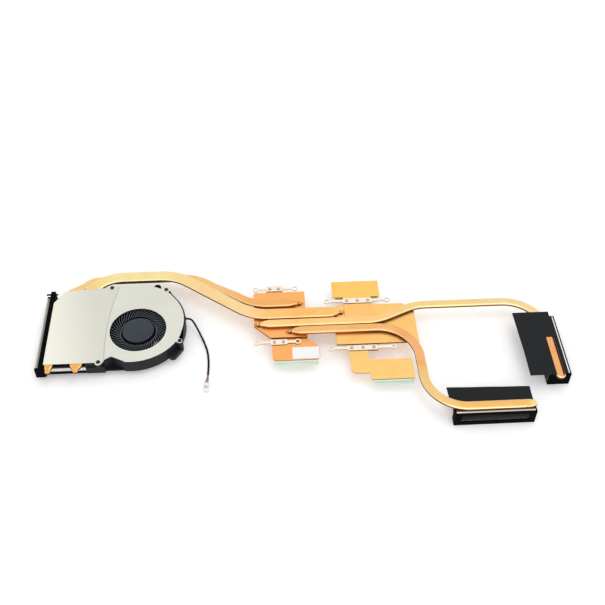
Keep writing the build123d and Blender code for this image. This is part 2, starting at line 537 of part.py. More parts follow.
def outlet_gasket(length, depth, z0, z1):
    """A foam cradle under and beside a fin stack, with a frame in front of its outlet."""
    outer = length / 2 + GASKET_T
    cradle = box(-outer, outer, 0, depth, 0, z1) - box(-length / 2, length / 2, 0, depth, z0, z1)
    frame = box(-outer, outer, -GASKET_T, 0, 0, z1)
    window = box(GASKET_SIDE_LIP - length / 2, length / 2 - GASKET_SIDE_LIP, -GASKET_T, 0,
                 z0 + GASKET_SILL, z1 - GASKET_LIP)
    return cradle + frame - window


right_place = Pos(RIGHT_STACK_X, RIGHT_STACK_FRONT_Y + RIGHT_STACK_L / 2) * Rot(0, 0, 90)
front_place = Pos(FRONT_STACK_LEFT_X + FRONT_STACK_L / 2, FRONT_STACK_Y)
left_place = Pos(LEFT_STACK_X, LEFT_STACK_FRONT_Y + LEFT_STACK_L / 2) * Rot(0, 0, -90)
left_fin_stack = left_place * fin_stack(LEFT_STACK_L, LEFT_STACK_D, FAN_BOTTOM_Z, SEAT_Z)
right_fin_stack = right_place * fin_stack(RIGHT_STACK_L, RIGHT_STACK_D, STACK_BOTTOM_Z, SEAT_Z)
front_fin_stack = front_place * fin_stack(FRONT_STACK_L, FRONT_STACK_D, STACK_BOTTOM_Z, FRONT_SEAT_Z)
right_exit_gasket = right_place * outlet_gasket(RIGHT_STACK_L, RIGHT_GASKET_D, STACK_BOTTOM_Z, SEAT_Z)
front_exit_gasket = front_place * outlet_gasket(FRONT_STACK_L, FRONT_GASKET_D, STACK_BOTTOM_Z, FRONT_SEAT_Z)

# Left gasket: a cradle round the ends and underside, and a strip on top along the edge of the cover
left_outer_y0, left_outer_y1 = LEFT_STACK_FRONT_Y - LEFT_END_T, LEFT_STACK_BACK_Y + LEFT_END_T
left_top_z = COVER_Z + COVER_T
left_exit_gasket = box(LEFT_GASKET_X0, LEFT_GASKET_X1, left_outer_y0, left_outer_y1, LEFT_CHEEK_Z, SEAT_Z)
left_exit_gasket += box(LEFT_GASKET_X0, LEFT_GASKET_X1,
                        left_outer_y0 + LEFT_FOOT_IN, left_outer_y1 - LEFT_FOOT_IN, 0, FAN_BOTTOM_Z)
left_exit_gasket += box(LEFT_GASKET_X1 - LEFT_STRIP_W, LEFT_GASKET_X1, left_outer_y0, left_outer_y1 + LEFT_TAIL,
                        LEFT_CHEEK_Z, left_top_z)
left_exit_gasket += box(LEFT_GASKET_X0, LEFT_GASKET_X1 + LEFT_BAR_OUT, left_outer_y1 - LEFT_BAR_T, left_outer_y1,
                        left_top_z - LEFT_BAR_H, left_top_z)
left_exit_gasket += box(LEFT_GASKET_X1 - LEFT_STRIP_W, HOUSING_LEFT_X - LEFT_APRON_GAP,
                        LEFT_STACK_FRONT_Y - LEFT_APRON_T, LEFT_STACK_FRONT_Y,
                        FAN_BOTTOM_Z, FAN_BOTTOM_Z + LEFT_APRON_H)
left_exit_gasket -= box(LEFT_GASKET_X0, LEFT_GASKET_X1, LEFT_STACK_FRONT_Y, LEFT_STACK_BACK_Y,
                        FAN_BOTTOM_Z, SEAT_Z)

# Film flaps that bridge to a second fan, and the tape and foam beside the right pipe
right_flap_sketch = panel(RIGHT_FLAP_X0, RIGHT_FLAP_X1, RIGHT_FLAP_Y0, RIGHT_FLAP_Y1)
right_flap_sketch -= panel(RIGHT_PIPE_X - NARROW_PIPE_W / 2 + PIPE_CLEAR, RIGHT_FLAP_X1,
                           RIGHT_FLAP_Y0, RIGHT_SLOT_Y)
right_flap = plate(right_flap_sketch, PIPE_TOP_Z, FLAP_T)
front_turn_x, front_turn_y = FRONT_PIPE_X + FRONT_TURN_R, FRONT_PIPE_Y + FRONT_TURN_R
front_flap_y = FRONT_PIPE_Y + NARROW_PIPE_W / 2 + STACKED_GAP
inside_turn = Pos(front_turn_x, front_turn_y) * Circle(FRONT_TURN_R - NARROW_PIPE_W / 2 - STACKED_GAP)
front_flap_sketch = panel(front_turn_x, FRONT_FLAP_X1, front_flap_y, FRONT_FLAP_Y1)
front_flap_sketch += panel(FRONT_FLAP_X0, front_turn_x, front_flap_y, FRONT_FLAP_Y1) & inside_turn
tip_x = FRONT_STACK_LEFT_X + FRONT_STACK_L - TIP_TAPER
shoulder_y = front_flap_y - NARROW_PIPE_W * (1 - TIP_SHOULDER_SHARE) / 2
front_flap_sketch += Polygon((tip_x, front_flap_y), (tip_x + TIP_TAPER * TIP_SHOULDER, shoulder_y),
                             (FRONT_FLAP_X1, front_flap_y - (NARROW_PIPE_W - TIP_W) / 2),
                             (FRONT_FLAP_X1, front_flap_y), align=None)
front_flap = plate(front_flap_sketch, FRONT_SEAT_Z, FLAP_T)
tape_x0 = RIGHT_PIPE_X + NARROW_PIPE_W / 2 + STACKED_GAP
right_edge_tape = plate(panel(tape_x0, EDGE_TAPE_X1, RIGHT_STACK_FRONT_Y, RIGHT_STACK_FRONT_Y + RIGHT_STACK_L),
                        SEAT_Z, FLAP_T)
right_flap_foam = box(FLAP_FOAM_X, FLAP_FOAM_X + FLAP_FOAM_W, RIGHT_STACK_FRONT_Y, FLAP_FOAM_Y1,
                      SEAT_Z, PIPE_TOP_Z)

# Processor plates and spreaders
spreader_z = PLATE_BOTTOM_Z - SPREADER_T
cpu_clip_ys = (CPU_CLIP_Y + CPU_HOLES_Y / 2, CPU_CLIP_Y - CPU_HOLES_Y / 2)
gpu_clip_ys = (GPU_CLIP_Y + GPU_HOLES_Y / 2, GPU_CLIP_Y - GPU_HOLES_Y / 2)


def rivet_holes(xs, y):
    """A row of rivet holes, as a sketch."""
    return [Pos(x, y) * Circle(RIVET_HOLE_R) for x in xs]


cpu_sketch = Polygon((CPU_X0, CPU_Y1), (CPU_X0, CPU_Y0 + CPU_CUT), (CPU_X0 + CPU_CUT, CPU_Y0),
                     (CPU_X1, CPU_Y0), (CPU_X1, CPU_Y1), align=None)
cpu_plate = plate(rounded(cpu_sketch, PLATE_CORNER_R), PLATE_BOTTOM_Z, PLATE_T)

gpu_sketch = Polygon((GPU_X0, GPU_Y0), (GPU_X1, GPU_Y0), (GPU_X1, GPU_Y1 - GPU_CUT),
                     (GPU_X1 - GPU_CUT, GPU_Y1), (GPU_X0 + GPU_REAR_CUT, GPU_Y1),
                     (GPU_X0, GPU_Y1 - GPU_REAR_CUT), align=None)
gpu_plate = plate(rounded(gpu_sketch, PLATE_CORNER_R), PLATE_BOTTOM_Z, PLATE_T)

cpu_rear_sketch = panel(CPU_TAB_X0, CPU_TAB_X1, CPU_Y1 - SPREADER_LAP, CPU_TAB_Y)
cpu_rear_tab = plate(cpu_rear_sketch - rivet_holes(CPU_RIVETS_X, cpu_clip_ys[0]), spreader_z, SPREADER_T)

cpu_front_sketch = panel(CPU_FRONT_X0, CPU_FRONT_X1, CPU_FRONT_Y, CPU_Y0 + SPREADER_LAP)
cpu_front_sketch = fillet(cpu_front_sketch.vertices().sort_by(Axis.Y)[:2], SPREADER_CORNER_R)
cpu_front_sketch -= Polygon((CPU_X1, CPU_FRONT_SLOPE_Y0), (CPU_FRONT_X1, CPU_FRONT_SLOPE_Y1),
                            (CPU_FRONT_X1, CPU_Y0 + SPREADER_LAP), (CPU_X1, CPU_Y0 + SPREADER_LAP), align=None)
cpu_front_sketch -= rivet_holes(CPU_FRONT_RIVETS_X, cpu_clip_ys[1])
cpu_front_spreader = plate(cpu_front_sketch, spreader_z, SPREADER_T)

gpu_rear_sketch = panel(GPU_REAR_X0, GPU_REAR_X1, GPU_REAR_Y0, GPU_REAR_Y1)
gpu_rear_sketch += panel(GPU_NECK_X0, GPU_NECK_X1, GPU_Y1, GPU_REAR_Y0)
gpu_rear_spreader = plate(gpu_rear_sketch - rivet_holes(GPU_RIVETS_X, gpu_clip_ys[0]), spreader_z, SPREADER_T)
lap_y = RIGHT_BUS_Y + NARROW_PIPE_W / 2 + STACKED_GAP
gpu_rear_spreader += box(GPU_NECK_X0, GPU_NECK_X1, lap_y, GPU_Y1 + SPREADER_T, SEAT_Z, SEAT_Z + SPREADER_T)
gpu_rear_spreader += box(GPU_NECK_X0, GPU_NECK_X1, GPU_Y1, GPU_Y1 + SPREADER_T, spreader_z, SEAT_Z)

gpu_front_sketch = panel(GPU_FRONT_X0, GPU_FRONT_ARM_X, GPU_FRONT_ARM_Y, GPU_Y0 + SPREADER_LAP)
gpu_front_sketch += panel(GPU_FRONT_X0, GPU_FRONT_NECK_X, GPU_FRONT_NECK_Y, GPU_FRONT_ARM_Y)
gpu_front_sketch += panel(GPU_FRONT_NECK_X, GPU_FRONT_X1, GPU_FRONT_Y, GPU_FRONT_WING_Y1)
corner = gpu_front_sketch.vertices().group_by(Axis.X)[0].sort_by(Axis.Y)[0]
gpu_front_sketch = fillet(corner, GPU_CORNER_R)
gpu_front_spreader = plate(gpu_front_sketch - rivet_holes(GPU_RIVETS_X, gpu_clip_ys[1]), spreader_z, SPREADER_T)

cpu_contact_block = Pos(CPU_CLIP_X, CPU_CLIP_Y, PLATE_BOTTOM_Z - BLOCK_T / 2) * Box(*CPU_BLOCK, BLOCK_T)
gpu_contact_block = Pos(GPU_CLIP_X, GPU_CLIP_Y, PLATE_BOTTOM_Z - BLOCK_T / 2) * Box(*GPU_BLOCK, BLOCK_T)


def under(x0, x1, y0, y1, film_out=FILM_OUT, film_shift=FILM_SHIFT):
    """A thermal pad on the underside of a spreader, and its release film."""
    pad = plate(panel(x0, x1, y0, y1), spreader_z - PAD_T, PAD_T)
    film_sketch = panel(x0 + film_shift, x1 + film_shift, y0 - film_out, y1)
    film = plate(film_sketch, spreader_z - PAD_T - FILM_T, FILM_T)
    return pad, film


cpu_front_pad, cpu_front_film = under(
    CPU_FRONT_X0 + PAD_INSET, CPU_FRONT_X1 - PAD_INSET, CPU_FRONT_Y - PAD_OUT, LABEL_Y1 - PAD_INSET,
    CPU_FILM_OUT, CPU_FILM_SHIFT)
gpu_front_pad, gpu_front_film = under(
    GPU_FRONT_NECK_X + PAD_INSET, GPU_FRONT_X1 - PAD_INSET,
    GPU_FRONT_Y - PAD_OUT, GPU_FRONT_WING_Y1 - PAD_INSET)
gpu_rear_pad, gpu_rear_film = under(
    GPU_REAR_X0 + PAD_INSET, GPU_REAR_X1 - PAD_INSET, GPU_REAR_Y0 + FILM_OUT, GPU_REAR_Y1 - PAD_INSET)
blank_label = plate(panel(LABEL_X0, LABEL_X1, LABEL_Y0, LABEL_Y1), PLATE_BOTTOM_Z, LABEL_T)


def spring_clip(middle_x, y, hole_span, rivets):
    """A flat spring with a ring at each end and a wider middle that is riveted down."""
    strip = panel(middle_x - hole_span / 2, middle_x + hole_span / 2, y - CLIP_W / 2, y + CLIP_W / 2)
    strip += panel(rivets[0] - CLIP_PAD_END, rivets[-1] + CLIP_PAD_END,
                   y - CLIP_PAD_W / 2, y + CLIP_PAD_W / 2)
    ends = [(middle_x - hole_span / 2, y), (middle_x + hole_span / 2, y)]
    strip += [Pos(*end) * Circle(CLIP_RING_R) for end in ends]
    strip -= [Pos(*end) * Circle(CLIP_HOLE_R) for end in ends]
    return plate(strip - rivet_holes(rivets, y), PLATE_BOTTOM_Z, CLIP_T)


def rivet_row(rivets, y):
    """Rivets through a clip and the sheet under it."""
    return [rod(x, y, RIVET_R, spreader_z, SPREADER_T + CLIP_T)
            + rod(x, y, RIVET_HEAD_R, PLATE_BOTTOM_Z + CLIP_T, RIVET_HEAD_T) for x in rivets]


cpu_rear_clip = spring_clip(CPU_CLIP_X, cpu_clip_ys[0], CPU_HOLES_X, CPU_RIVETS_X)
cpu_front_clip = spring_clip(CPU_CLIP_X, cpu_clip_ys[1], CPU_HOLES_X, CPU_FRONT_RIVETS_X)
gpu_rear_clip = spring_clip(GPU_CLIP_X, gpu_clip_ys[0], GPU_HOLES_X, GPU_RIVETS_X)
gpu_front_clip = spring_clip(GPU_CLIP_X, gpu_clip_ys[1], GPU_HOLES_X, GPU_RIVETS_X)
clip_rivets = rivet_row(CPU_RIVETS_X, cpu_clip_ys[0]) + rivet_row(CPU_FRONT_RIVETS_X, cpu_clip_ys[1])
clip_rivets += [rivet for y in gpu_clip_ys for rivet in rivet_row(GPU_RIVETS_X, y)]


def lead(route, radius):
    """A round lead along a route, each bend as wide as its runs allow."""
    points = [Vector(*point) for point in route]
    radii = []
    for before, here, after in zip(points, points[1:], points[2:]):
        turn = (here - before).get_angle(after - here)
        shorter = min((here - before).length, (after - here).length)
        radii.append(LEAD_BEND_SHARE * shorter / tan(radians(turn) / 2))
    path = FilletPolyline(*points, radius=radii)
    return sweep(Plane(origin=path @ 0, z_dir=path % 0) * Circle(radius), path=path)


lead_sleeve = lead(SLEEVE_ROUTE, SLEEVE_R)
lead_wires = lead(WIRES_ROUTE, WIRES_R)
plug_x, plug_y, plug_z = WIRES_ROUTE[-1]
fan_plug = box(plug_x - PLUG_W / 2, plug_x + PLUG_W / 2, plug_y - PLUG_L, plug_y, 0, PLUG_T)
fan_plug -= box(plug_x - PLUG_W / 2, plug_x + PLUG_W / 2, plug_y - PLUG_L, plug_y - PLUG_L / 2,
                PLUG_T - PLUG_RIB, PLUG_T)

NODES = {
    "fan_cover": fan_cover, "fan_housing": fan_housing, "cover_screws": cover_screws,
    "impeller": impeller, "rotor_yoke": rotor_yoke, "rotor_magnet": rotor_magnet,
    "rotor_shaft": rotor_shaft, "bearing_sleeve": bearing_sleeve, "motor_board": motor_board,
    "stator_core": stator_core, "stator_coils": stator_coils,
    "left_fin_stack": left_fin_stack, "right_fin_stack": right_fin_stack, "front_fin_stack": front_fin_stack,
    "left_exit_gasket": left_exit_gasket, "right_exit_gasket": right_exit_gasket,
    "front_exit_gasket": front_exit_gasket, "right_flap": right_flap, "front_flap": front_flap,
    "right_edge_tape": right_edge_tape, "right_flap_foam": right_flap_foam,
    "wide_heat_pipe": wide_pipe, "narrow_heat_pipe": narrow_pipe,
    "right_heat_pipe": right_pipe, "front_heat_pipe": front_pipe,
    "cpu_plate": cpu_plate, "gpu_plate": gpu_plate,
    "cpu_rear_tab": cpu_rear_tab, "cpu_front_spreader": cpu_front_spreader,
    "gpu_rear_spreader": gpu_rear_spreader, "gpu_front_spreader": gpu_front_spreader,
    "cpu_contact_block": cpu_contact_block, "gpu_contact_block": gpu_contact_block,
    "cpu_front_pad": cpu_front_pad, "gpu_front_pad": gpu_front_pad, "gpu_rear_pad": gpu_rear_pad,
    "cpu_front_film": cpu_front_film, "gpu_front_film": gpu_front_film, "gpu_rear_film": gpu_rear_film,
    "blank_label": blank_label, "cpu_rear_clip": cpu_rear_clip, "cpu_front_clip": cpu_front_clip,
    "gpu_rear_clip": gpu_rear_clip, "gpu_front_clip": gpu_front_clip, "clip_rivets": clip_rivets,
    "lead_sleeve": lead_sleeve, "lead_wires": lead_wires, "fan_plug": fan_plug,
}

os.makedirs("parts", exist_ok=True)
for name, shape in NODES.items():
    export_step(Compound(shape) if isinstance(shape, list) else shape, f"parts/{name}.step")
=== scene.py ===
"""Looks of the laptop cooling assembly: blower, fin stacks, flat copper heat pipes and processor plates."""
import math

import bmesh
import bpy
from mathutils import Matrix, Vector, noise


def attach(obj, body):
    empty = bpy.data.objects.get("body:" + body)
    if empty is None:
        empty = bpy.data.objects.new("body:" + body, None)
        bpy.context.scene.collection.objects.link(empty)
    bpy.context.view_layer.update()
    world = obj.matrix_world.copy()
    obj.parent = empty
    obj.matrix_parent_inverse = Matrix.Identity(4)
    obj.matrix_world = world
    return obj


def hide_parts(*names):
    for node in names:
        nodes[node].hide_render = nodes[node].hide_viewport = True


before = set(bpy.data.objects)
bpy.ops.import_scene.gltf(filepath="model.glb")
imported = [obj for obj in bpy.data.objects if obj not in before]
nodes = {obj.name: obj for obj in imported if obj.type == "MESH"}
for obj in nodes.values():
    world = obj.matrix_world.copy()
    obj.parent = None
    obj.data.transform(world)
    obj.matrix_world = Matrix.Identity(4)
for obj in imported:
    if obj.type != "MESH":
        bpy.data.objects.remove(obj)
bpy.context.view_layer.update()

MM = 0.001

# Blower, in millimetres like every size and place of a piece below
FAN = (-128.1, 14.5)
DUCT_TOP, COVER_TOP, HUB_TOP = 15.9, 16.1, 14.7
VOLUTE, COVER_R = (-131.7, 22.4), 40.2
RIM_SHOWN = 0.8                                 # of the housing, where the cover stops short of it
RIM_FROM, RIM_TO, RIM_EASE = -24.0, 49.0, 8.0   # degrees round the volute
RIM_NEAR = 0.05                                 # how near the cover's edge a point counts as on it
STEP_MIDDLE, STEP_R = (96.9, 5.0), 250.0        # line pressed between the duct and the fan
STEP_HALF, STEP_LINE = 0.2, (0.1, 0.6)          # blend of the two tones, and where the line fades out
# Radii where the painted shade round the hub gives way to the painted light on the blade tops
DARK_HUB_R, PALE_BLADE_R = 13.7, 14.3
CAP_R, CAP_T, CAP_ROUND = 12.2, 0.3, 0.06
CAP_STEPS = [(0.8, 0.0), (0.2, -0.14), (0.4, 0.0), (0.2, 0.1)]      # width and depth, from the edge inwards
LIP_R, LIP_HALF = 22.75, 0.45
LIP_BELOW, LIP_ABOVE = 0.4, 0.7                 # share of the lip's height that is left
SCREWS = [(-156.4, -17.0, DUCT_TOP), (-94.7, 1.2, COVER_TOP), (-107.9, 56.5, COVER_TOP),
          (-152.5, 60.7, COVER_TOP)]
SCREW_R, SCREW_T, SCREW_ROUND = 1.6, 0.6, 0.24
RECESS_REACH, RECESS_HALF, RECESS_FLOOR, RECESS_TOP = 0.85, 0.2, 0.25, 1.0

# Clips, pipes and fins
CLIP_TOP = 11.6
RIVETS = [(x, y, CLIP_TOP) for x, y in ((-22.9, 56.9), (-15.8, 56.9), (-20.7, -0.3), (-13.6, -0.3))]
RIVETS += [(x, y, CLIP_TOP) for y in (40.8, -9.0) for x in (39.6, 48.4, 57.0)]
RIVET_R, RIVET_T, RIVET_DOME = 1.2, 0.5, 0.42
CRIMPS = [(0.6, 38.2, 13.3, 1), (33.8, 26.9, 13.3, 1), (-33.0, 16.8, 13.3, -1), (-8.1, 8.7, 13.3, -1)]
CRIMP_REACH, CRIMP_HALF, CRIMP_BELOW, CRIMP_ABOVE, CRIMP_ROUND = 1.35, 1.5, 0.9, 0.95, 0.4
CRIMP_TIP, CRIMP_LINE = (1.0, 0.86, 0.7), -0.6  # share of the size left at the tip, and the level it keeps
BLUNT_ENDS = [(-173.5, -22.4, 12.5, "wide_pipe"), (-194.5, -22.4, 12.5, "narrow_pipe")]
BLUNT_R, BLUNT_T, BLUNT_ROUND = 2.3, 1.9, 0.45
BLUNT_STEPS = [(0.5, 0.0), (0.3, -0.12)]
NOSE_PLACE, NOSE_REACH, NOSE_HEIGHT = (164.9, -71.9, 14.1), (6.3, 3.7), 2.65
NOSE_ROUND, NOSE_SQUEEZE = 1.0, 0.4
FIN_PITCH, FIN_SEAM = 1.5, 0.18

# Fan lead
SLEEVE_ROUTE = [(-91.4, 29.8, 9.4), (-88.2, 29.8, 9.4), (-85.4, 27.6, 7.6), (-82.6, 23.0, 4.8),
                (-79.4, 16.6, 2.3), (-76.2, 8.8, 1.1), (-74.0, 1.0, 0.9), (-73.2, -6.8, 0.9),
                (-73.0, -14.4, 0.9), (-73.4, -22.0, 0.9)]
WIRES_ROUTE = [(-73.4, -22.0, 0.9), (-73.56, -25.0, 0.9), (-74.4, -28.2, 1.0), (-74.4, -31.0, 1.0)]
SLEEVE_R, WIRE_R = 0.8, 0.22
WIRE_SHARES = (-1.0, -0.35, 0.35, 1.0)          # of the spread, one for each wire
WIRE_SPREADS = (0.3, 0.55, 1.2, 1.35)           # one for each point of the route
WIRE_LIFT = 0.2
PLUG_LOW, PLUG_HIGH = (-77.0, -38.6, 0.0), (-71.8, -31.0, 2.8)
PLUG_RIB, PLUG_RIB_INSET, PLUG_ROUND = 0.5, 0.7, 0.12
PLUG_WAYS, PLUG_PITCH, PLUG_SLOT = 4, 0.9, 0.5
TIN_INSET, TIN_ROUND = 0.06, 0.08

# Camera and lamps: places and lamp sizes in metres, turns in degrees, lens and sensor in millimetres
EYE_PLACE, EYE_TILT, EYE_TURN = (-0.022, -0.4565, 0.560), 42.23, -2.93
LENS, SENSOR = 53.83, 36.0
TOP_LAMP = ("top_softbox", (0.3, 0.05, 1.25), 0.8, 0.6, 2.0)
FRONT_LAMP = ("front_softbox", (-0.1, -0.95, 0.66), 1.2, 0.4, 1.7)
ROOM_LIGHT, FLOOR_GLOW = 0.8, 0.21


def metres(*values):
    """Millimetres as metres."""
    return tuple(value * MM for value in values)


def paint(red, green, blue):
    """A colour as it shows on a screen, from 0 to 255, as the linear colour that a shader takes."""
    def linear(value):
        share = value / 255
        return share / 12.92 if share <= 0.04045 else ((share + 0.055) / 1.055) ** 2.4
    return (linear(red), linear(green), linear(blue), 1.0)


WHITE, BLACK = (1.0, 1.0, 1.0, 1.0), (0.0, 0.0, 0.0, 1.0)


# Steps that effects and finishes are made of

def add(tree, kind, **settings):
    """A node of a kind, with its own settings."""
    node = tree.nodes.new("ShaderNode" + kind)
    for key, value in settings.items():
        setattr(node, key, value)
    return node


def plug_in(tree, source, socket):
    """Lead a source into a socket, or set the socket where the source is a plain value."""
    if isinstance(source, bpy.types.NodeSocket):
        tree.links.new(source, socket)
    else:
        socket.default_value = source


def feed(tree, node, **sources):
    """Plug sources into a node's inputs by their titles."""
    for title, source in sources.items():
        plug_in(tree, source, node.inputs[title.replace("_", " ")])
    return node


def spread(tree, source, low, high, new_low=0.0, new_high=1.0, soft=False):
    """A value stretched from one range to another and held inside it, with soft ends if asked for."""
    node = add(tree, "MapRange", interpolation_type="SMOOTHSTEP" if soft else "LINEAR")
    feed(tree, node, Value=source, From_Min=low, From_Max=high, To_Min=new_low, To_Max=new_high)
    return node.outputs["Result"]


def vary(tree, mask, low, high):
    """A value that goes from low to high with a mask."""
    return spread(tree, mask, 0.0, 1.0, low, high)


def between(tree, share, first, second, blend="MIX"):
    """A colour part way from a first to a second."""
    node = add(tree, "Mix", data_type="RGBA", blend_type=blend)
    plug_in(tree, share, node.inputs["Factor"])
    plug_in(tree, first, node.inputs[6])
    plug_in(tree, second, node.inputs[7])
    return node.outputs[2]


def reckon(tree, operation, *sources):
    """One step of arithmetic on values."""
    node = add(tree, "Math", operation=operation)
    for source, socket in zip(sources, node.inputs):
        plug_in(tree, source, socket)
    return node.outputs[0]


def compare(tree, operation, first, second):
    """A single value from two places or directions."""
    node = add(tree, "VectorMath", operation=operation)
    plug_in(tree, first, node.inputs[0])
    plug_in(tree, second, node.inputs[1])
    return node.outputs["Value"]


def stretched(tree, place, stretch):
    """A place stretched along each axis."""
    node = add(tree, "VectorMath", operation="MULTIPLY")
    plug_in(tree, place, node.inputs[0])
    plug_in(tree, stretch, node.inputs[1])
    return node.outputs["Vector"]


def place_on(tree):
    """The place on a piece, in metres."""
    return add(tree, "TexCoord").outputs["Object"]


def from_axis(tree, x, y):
    """How far a place lies from an upright axis, in metres."""
    level = stretched(tree, place_on(tree), (1.0, 1.0, 0.0))
    return compare(tree, "DISTANCE", level, metres(x, y, 0.0))


def facing_up(tree):
    """How far a surface faces up, from one to minus one."""
    shape = add(tree, "NewGeometry")
    return feed(tree, add(tree, "SeparateXYZ"), Vector=shape.outputs["Normal"]).outputs["Z"]


def cloud(tree, place, size, detail, roughness=0.5):
    """A value that wanders from place to place."""
    node = feed(tree, add(tree, "TexNoise"), Vector=place, Scale=size, Detail=detail, Roughness=roughness)
    return node.outputs["Fac"]


# Shared effects, each one a node group

def effect(name, inputs, outputs):
    """An empty effect with named inputs and outputs."""
    group = bpy.data.node_groups.new(name, "ShaderNodeTree")
    for title, kind, value in inputs:
        socket = group.interface.new_socket(title, in_out="INPUT", socket_type="NodeSocket" + kind)
        socket.default_value = value
    for title, kind in outputs:
        group.interface.new_socket(title, in_out="OUTPUT", socket_type="NodeSocket" + kind)
    return group, group.nodes.new("NodeGroupInput").outputs, group.nodes.new("NodeGroupOutput")


def make_tone_patches():
    """Soft patches of a second tone over a first, as on handled metal and plastic."""
    group, given, end = effect(
        "tone_patches",
        [("First", "Color", WHITE), ("Second", "Color", BLACK), ("Size", "Float", 60.0),
         ("Low", "Float", 0.35), ("High", "Float", 0.75)],
        [("Color", "Color"), ("Mask", "Float")])
    patches = cloud(group, place_on(group), given["Size"], 5.0, 0.6)
    mask = spread(group, patches, given["Low"], given["High"], soft=True)
    feed(group, end, Color=between(group, mask, given["First"], given["Second"]), Mask=mask)
    return group


def make_drawn_lines():
    """Fine lines left by rolling or brushing, along the way that the stretch is smallest."""
    group, given, end = effect(
        "drawn_lines",
        [("Stretch", "Vector", (40.0, 1600.0, 1600.0)), ("Low", "Float", 0.3), ("High", "Float", 0.7)],
        [("Lines", "Float")])
    lines = cloud(group, stretched(group, place_on(group), given["Stretch"]), 1.0, 3.0, 0.65)
    feed(group, end, Lines=spread(group, lines, given["Low"], given["High"]))
    return group


def make_turned_edges():
    """A face colour on level surfaces, a second on rounded edges and a third on upright sides: painted
    highlight and painted shade set by which way a surface faces.
    """
    group, given, end = effect(
        "turned_edges",
        [("Face", "Color", WHITE), ("Edge", "Color", WHITE), ("Side", "Color", BLACK),
         ("Turn", "Float", 0.35)],
        [("Color", "Color")])
    upward = facing_up(group)
    rounded = spread(group, upward, given["Turn"], reckon(group, "ADD", given["Turn"], 0.3), soft=True)
    top = spread(group, upward, 0.78, 0.98, soft=True)
    under = spread(group, upward, -0.93, -0.99, soft=True)
    turned = between(group, rounded, given["Side"], given["Edge"])
    level = reckon(group, "MAXIMUM", top, under)
    feed(group, end, Color=between(group, level, turned, given["Face"]))
    return group


def make_pores():
    """Small cells, as in foam, or the grain of moulded plastic where they are very small."""
    group, given, end = effect(
        "pores", [("Size", "Float", 1500.0), ("Unevenness", "Float", 0.5)],
        [("Height", "Float"), ("Mask", "Float")])
    place = place_on(group)
    cells = feed(group, add(group, "TexVoronoi"), Vector=place, Scale=given["Size"])
    mixed = add(group, "Mix", data_type="FLOAT")
    plug_in(group, given["Unevenness"], mixed.inputs[0])
    plug_in(group, cells.outputs["Distance"], mixed.inputs[2])
    plug_in(group, cloud(group, place, given["Size"], 4.0), mixed.inputs[3])
    feed(group, end, Height=mixed.outputs[0], Mask=spread(group, mixed.outputs[0], 0.25, 0.65))
    return group


def make_fade():
    """A second colour that takes over along a direction."""
    group, given, end = effect(
        "fade",
        [("First", "Color", WHITE), ("Second", "Color", BLACK), ("Direction", "Vector", (1.0, 0.0, 0.0)),
         ("Begin", "Float", 0.0), ("Full", "Float", 0.01)],
        [("Color", "Color")])
    along = compare(group, "DOT_PRODUCT", place_on(group), given["Direction"])
    mask = spread(group, along, given["Begin"], given["Full"], soft=True)
    feed(group, end, Color=between(group, mask, given["First"], given["Second"]))
    return group


def make_stain_and_shade():
    """An uneven stain round a place, as solder leaves beside a pipe's end; also a painted shadow laid on
    the same way.
    """
    ragged, core, strength = 2.2 * MM, 0.5 * MM, 0.85
    group, given, end = effect(
        "stain",
        [("Face", "Color", WHITE), ("Stain", "Color", BLACK), ("Middle", "Vector", (0.0, 0.0, 0.0)),
         ("Reach", "Float", 0.003)],
        [("Color", "Color")])
    place = place_on(group)
    apart = compare(group, "DISTANCE", place, given["Middle"])
    uneven = reckon(group, "MULTIPLY_ADD", cloud(group, place, 700.0, 3.0), ragged, apart)
    mask = spread(group, uneven, given["Reach"], core, 0.0, strength, soft=True)
    feed(group, end, Color=between(group, mask, given["Face"], given["Stain"]))
    return group


TONE_PATCHES = make_tone_patches()
DRAWN_LINES = make_drawn_lines()
TURNED_EDGES = make_turned_edges()
PORES = make_pores()
FADE = make_fade()
STAIN_AND_SHADE = make_stain_and_shade()


def use(tree, group, **sources):
    """What one of the shared effects gives out in a finish, from its own values."""
    node = add(tree, "Group", node_tree=group)
    return feed(tree, node, **sources).outputs


def fade_along(tree, color, fades):
    """A colour that gives way to others, each along its own direction."""
    for second, direction, begin, full in fades:
        color = use(tree, FADE, First=color, Second=second, Direction=direction,
                    Begin=begin * MM, Full=full * MM)["Color"]
    return color


# Kinds of finish

LINE_DEPTH, GRAIN_DEPTH, SEAM_DEPTH, CELL_DEPTH, WAVE_DEPTH = 0.02, 0.05, 0.08, 0.3, 0.6
# Painted shade on the upright sides of copper: dark brown, and a paler brown along the bus.
PAINTED_SIDE_SHADE, BUS_SIDE = paint(112, 71, 36), paint(170, 114, 52)
# Painted highlight: the pale cream that rounded edges of copper are mixed towards
PAINTED_EDGE_HIGHLIGHT = paint(255, 244, 208)
SOLDER_STAIN, HOLE_SHADE = paint(140, 70, 38), paint(44, 32, 26)
PIPE_LINES, PIPE_DEEP = (220.0, 220.0, 700.0), paint(250, 240, 228)
SHEET_LINES, SHEET_DEEP = (420.0, 90.0, 700.0), paint(252, 243, 233)
EVEN_LINES, TURNED_LINES = (900.0, 900.0, 900.0), (900.0, 900.0, 60.0)
LEFT, RIGHT, FRONT, BACK = (-1.0, 0.0, 0.0), (1.0, 0.0, 0.0), (0.0, -1.0, 0.0), (0.0, 1.0, 0.0)
UP = (0.0, 0.0, 1.0)
ALONG_DUCT = (1.0, 0.2, 0.0)


def new_finish(name):
    """A finish with a bare surface shader."""
    finish = bpy.data.materials.new(name)
    finish.use_nodes = True
    tree = finish.node_tree
    tree.nodes.clear()
    surface = add(tree, "BsdfPrincipled")
    feed(tree, add(tree, "OutputMaterial"), Surface=surface.outputs["BSDF"])
    return finish, tree, surface


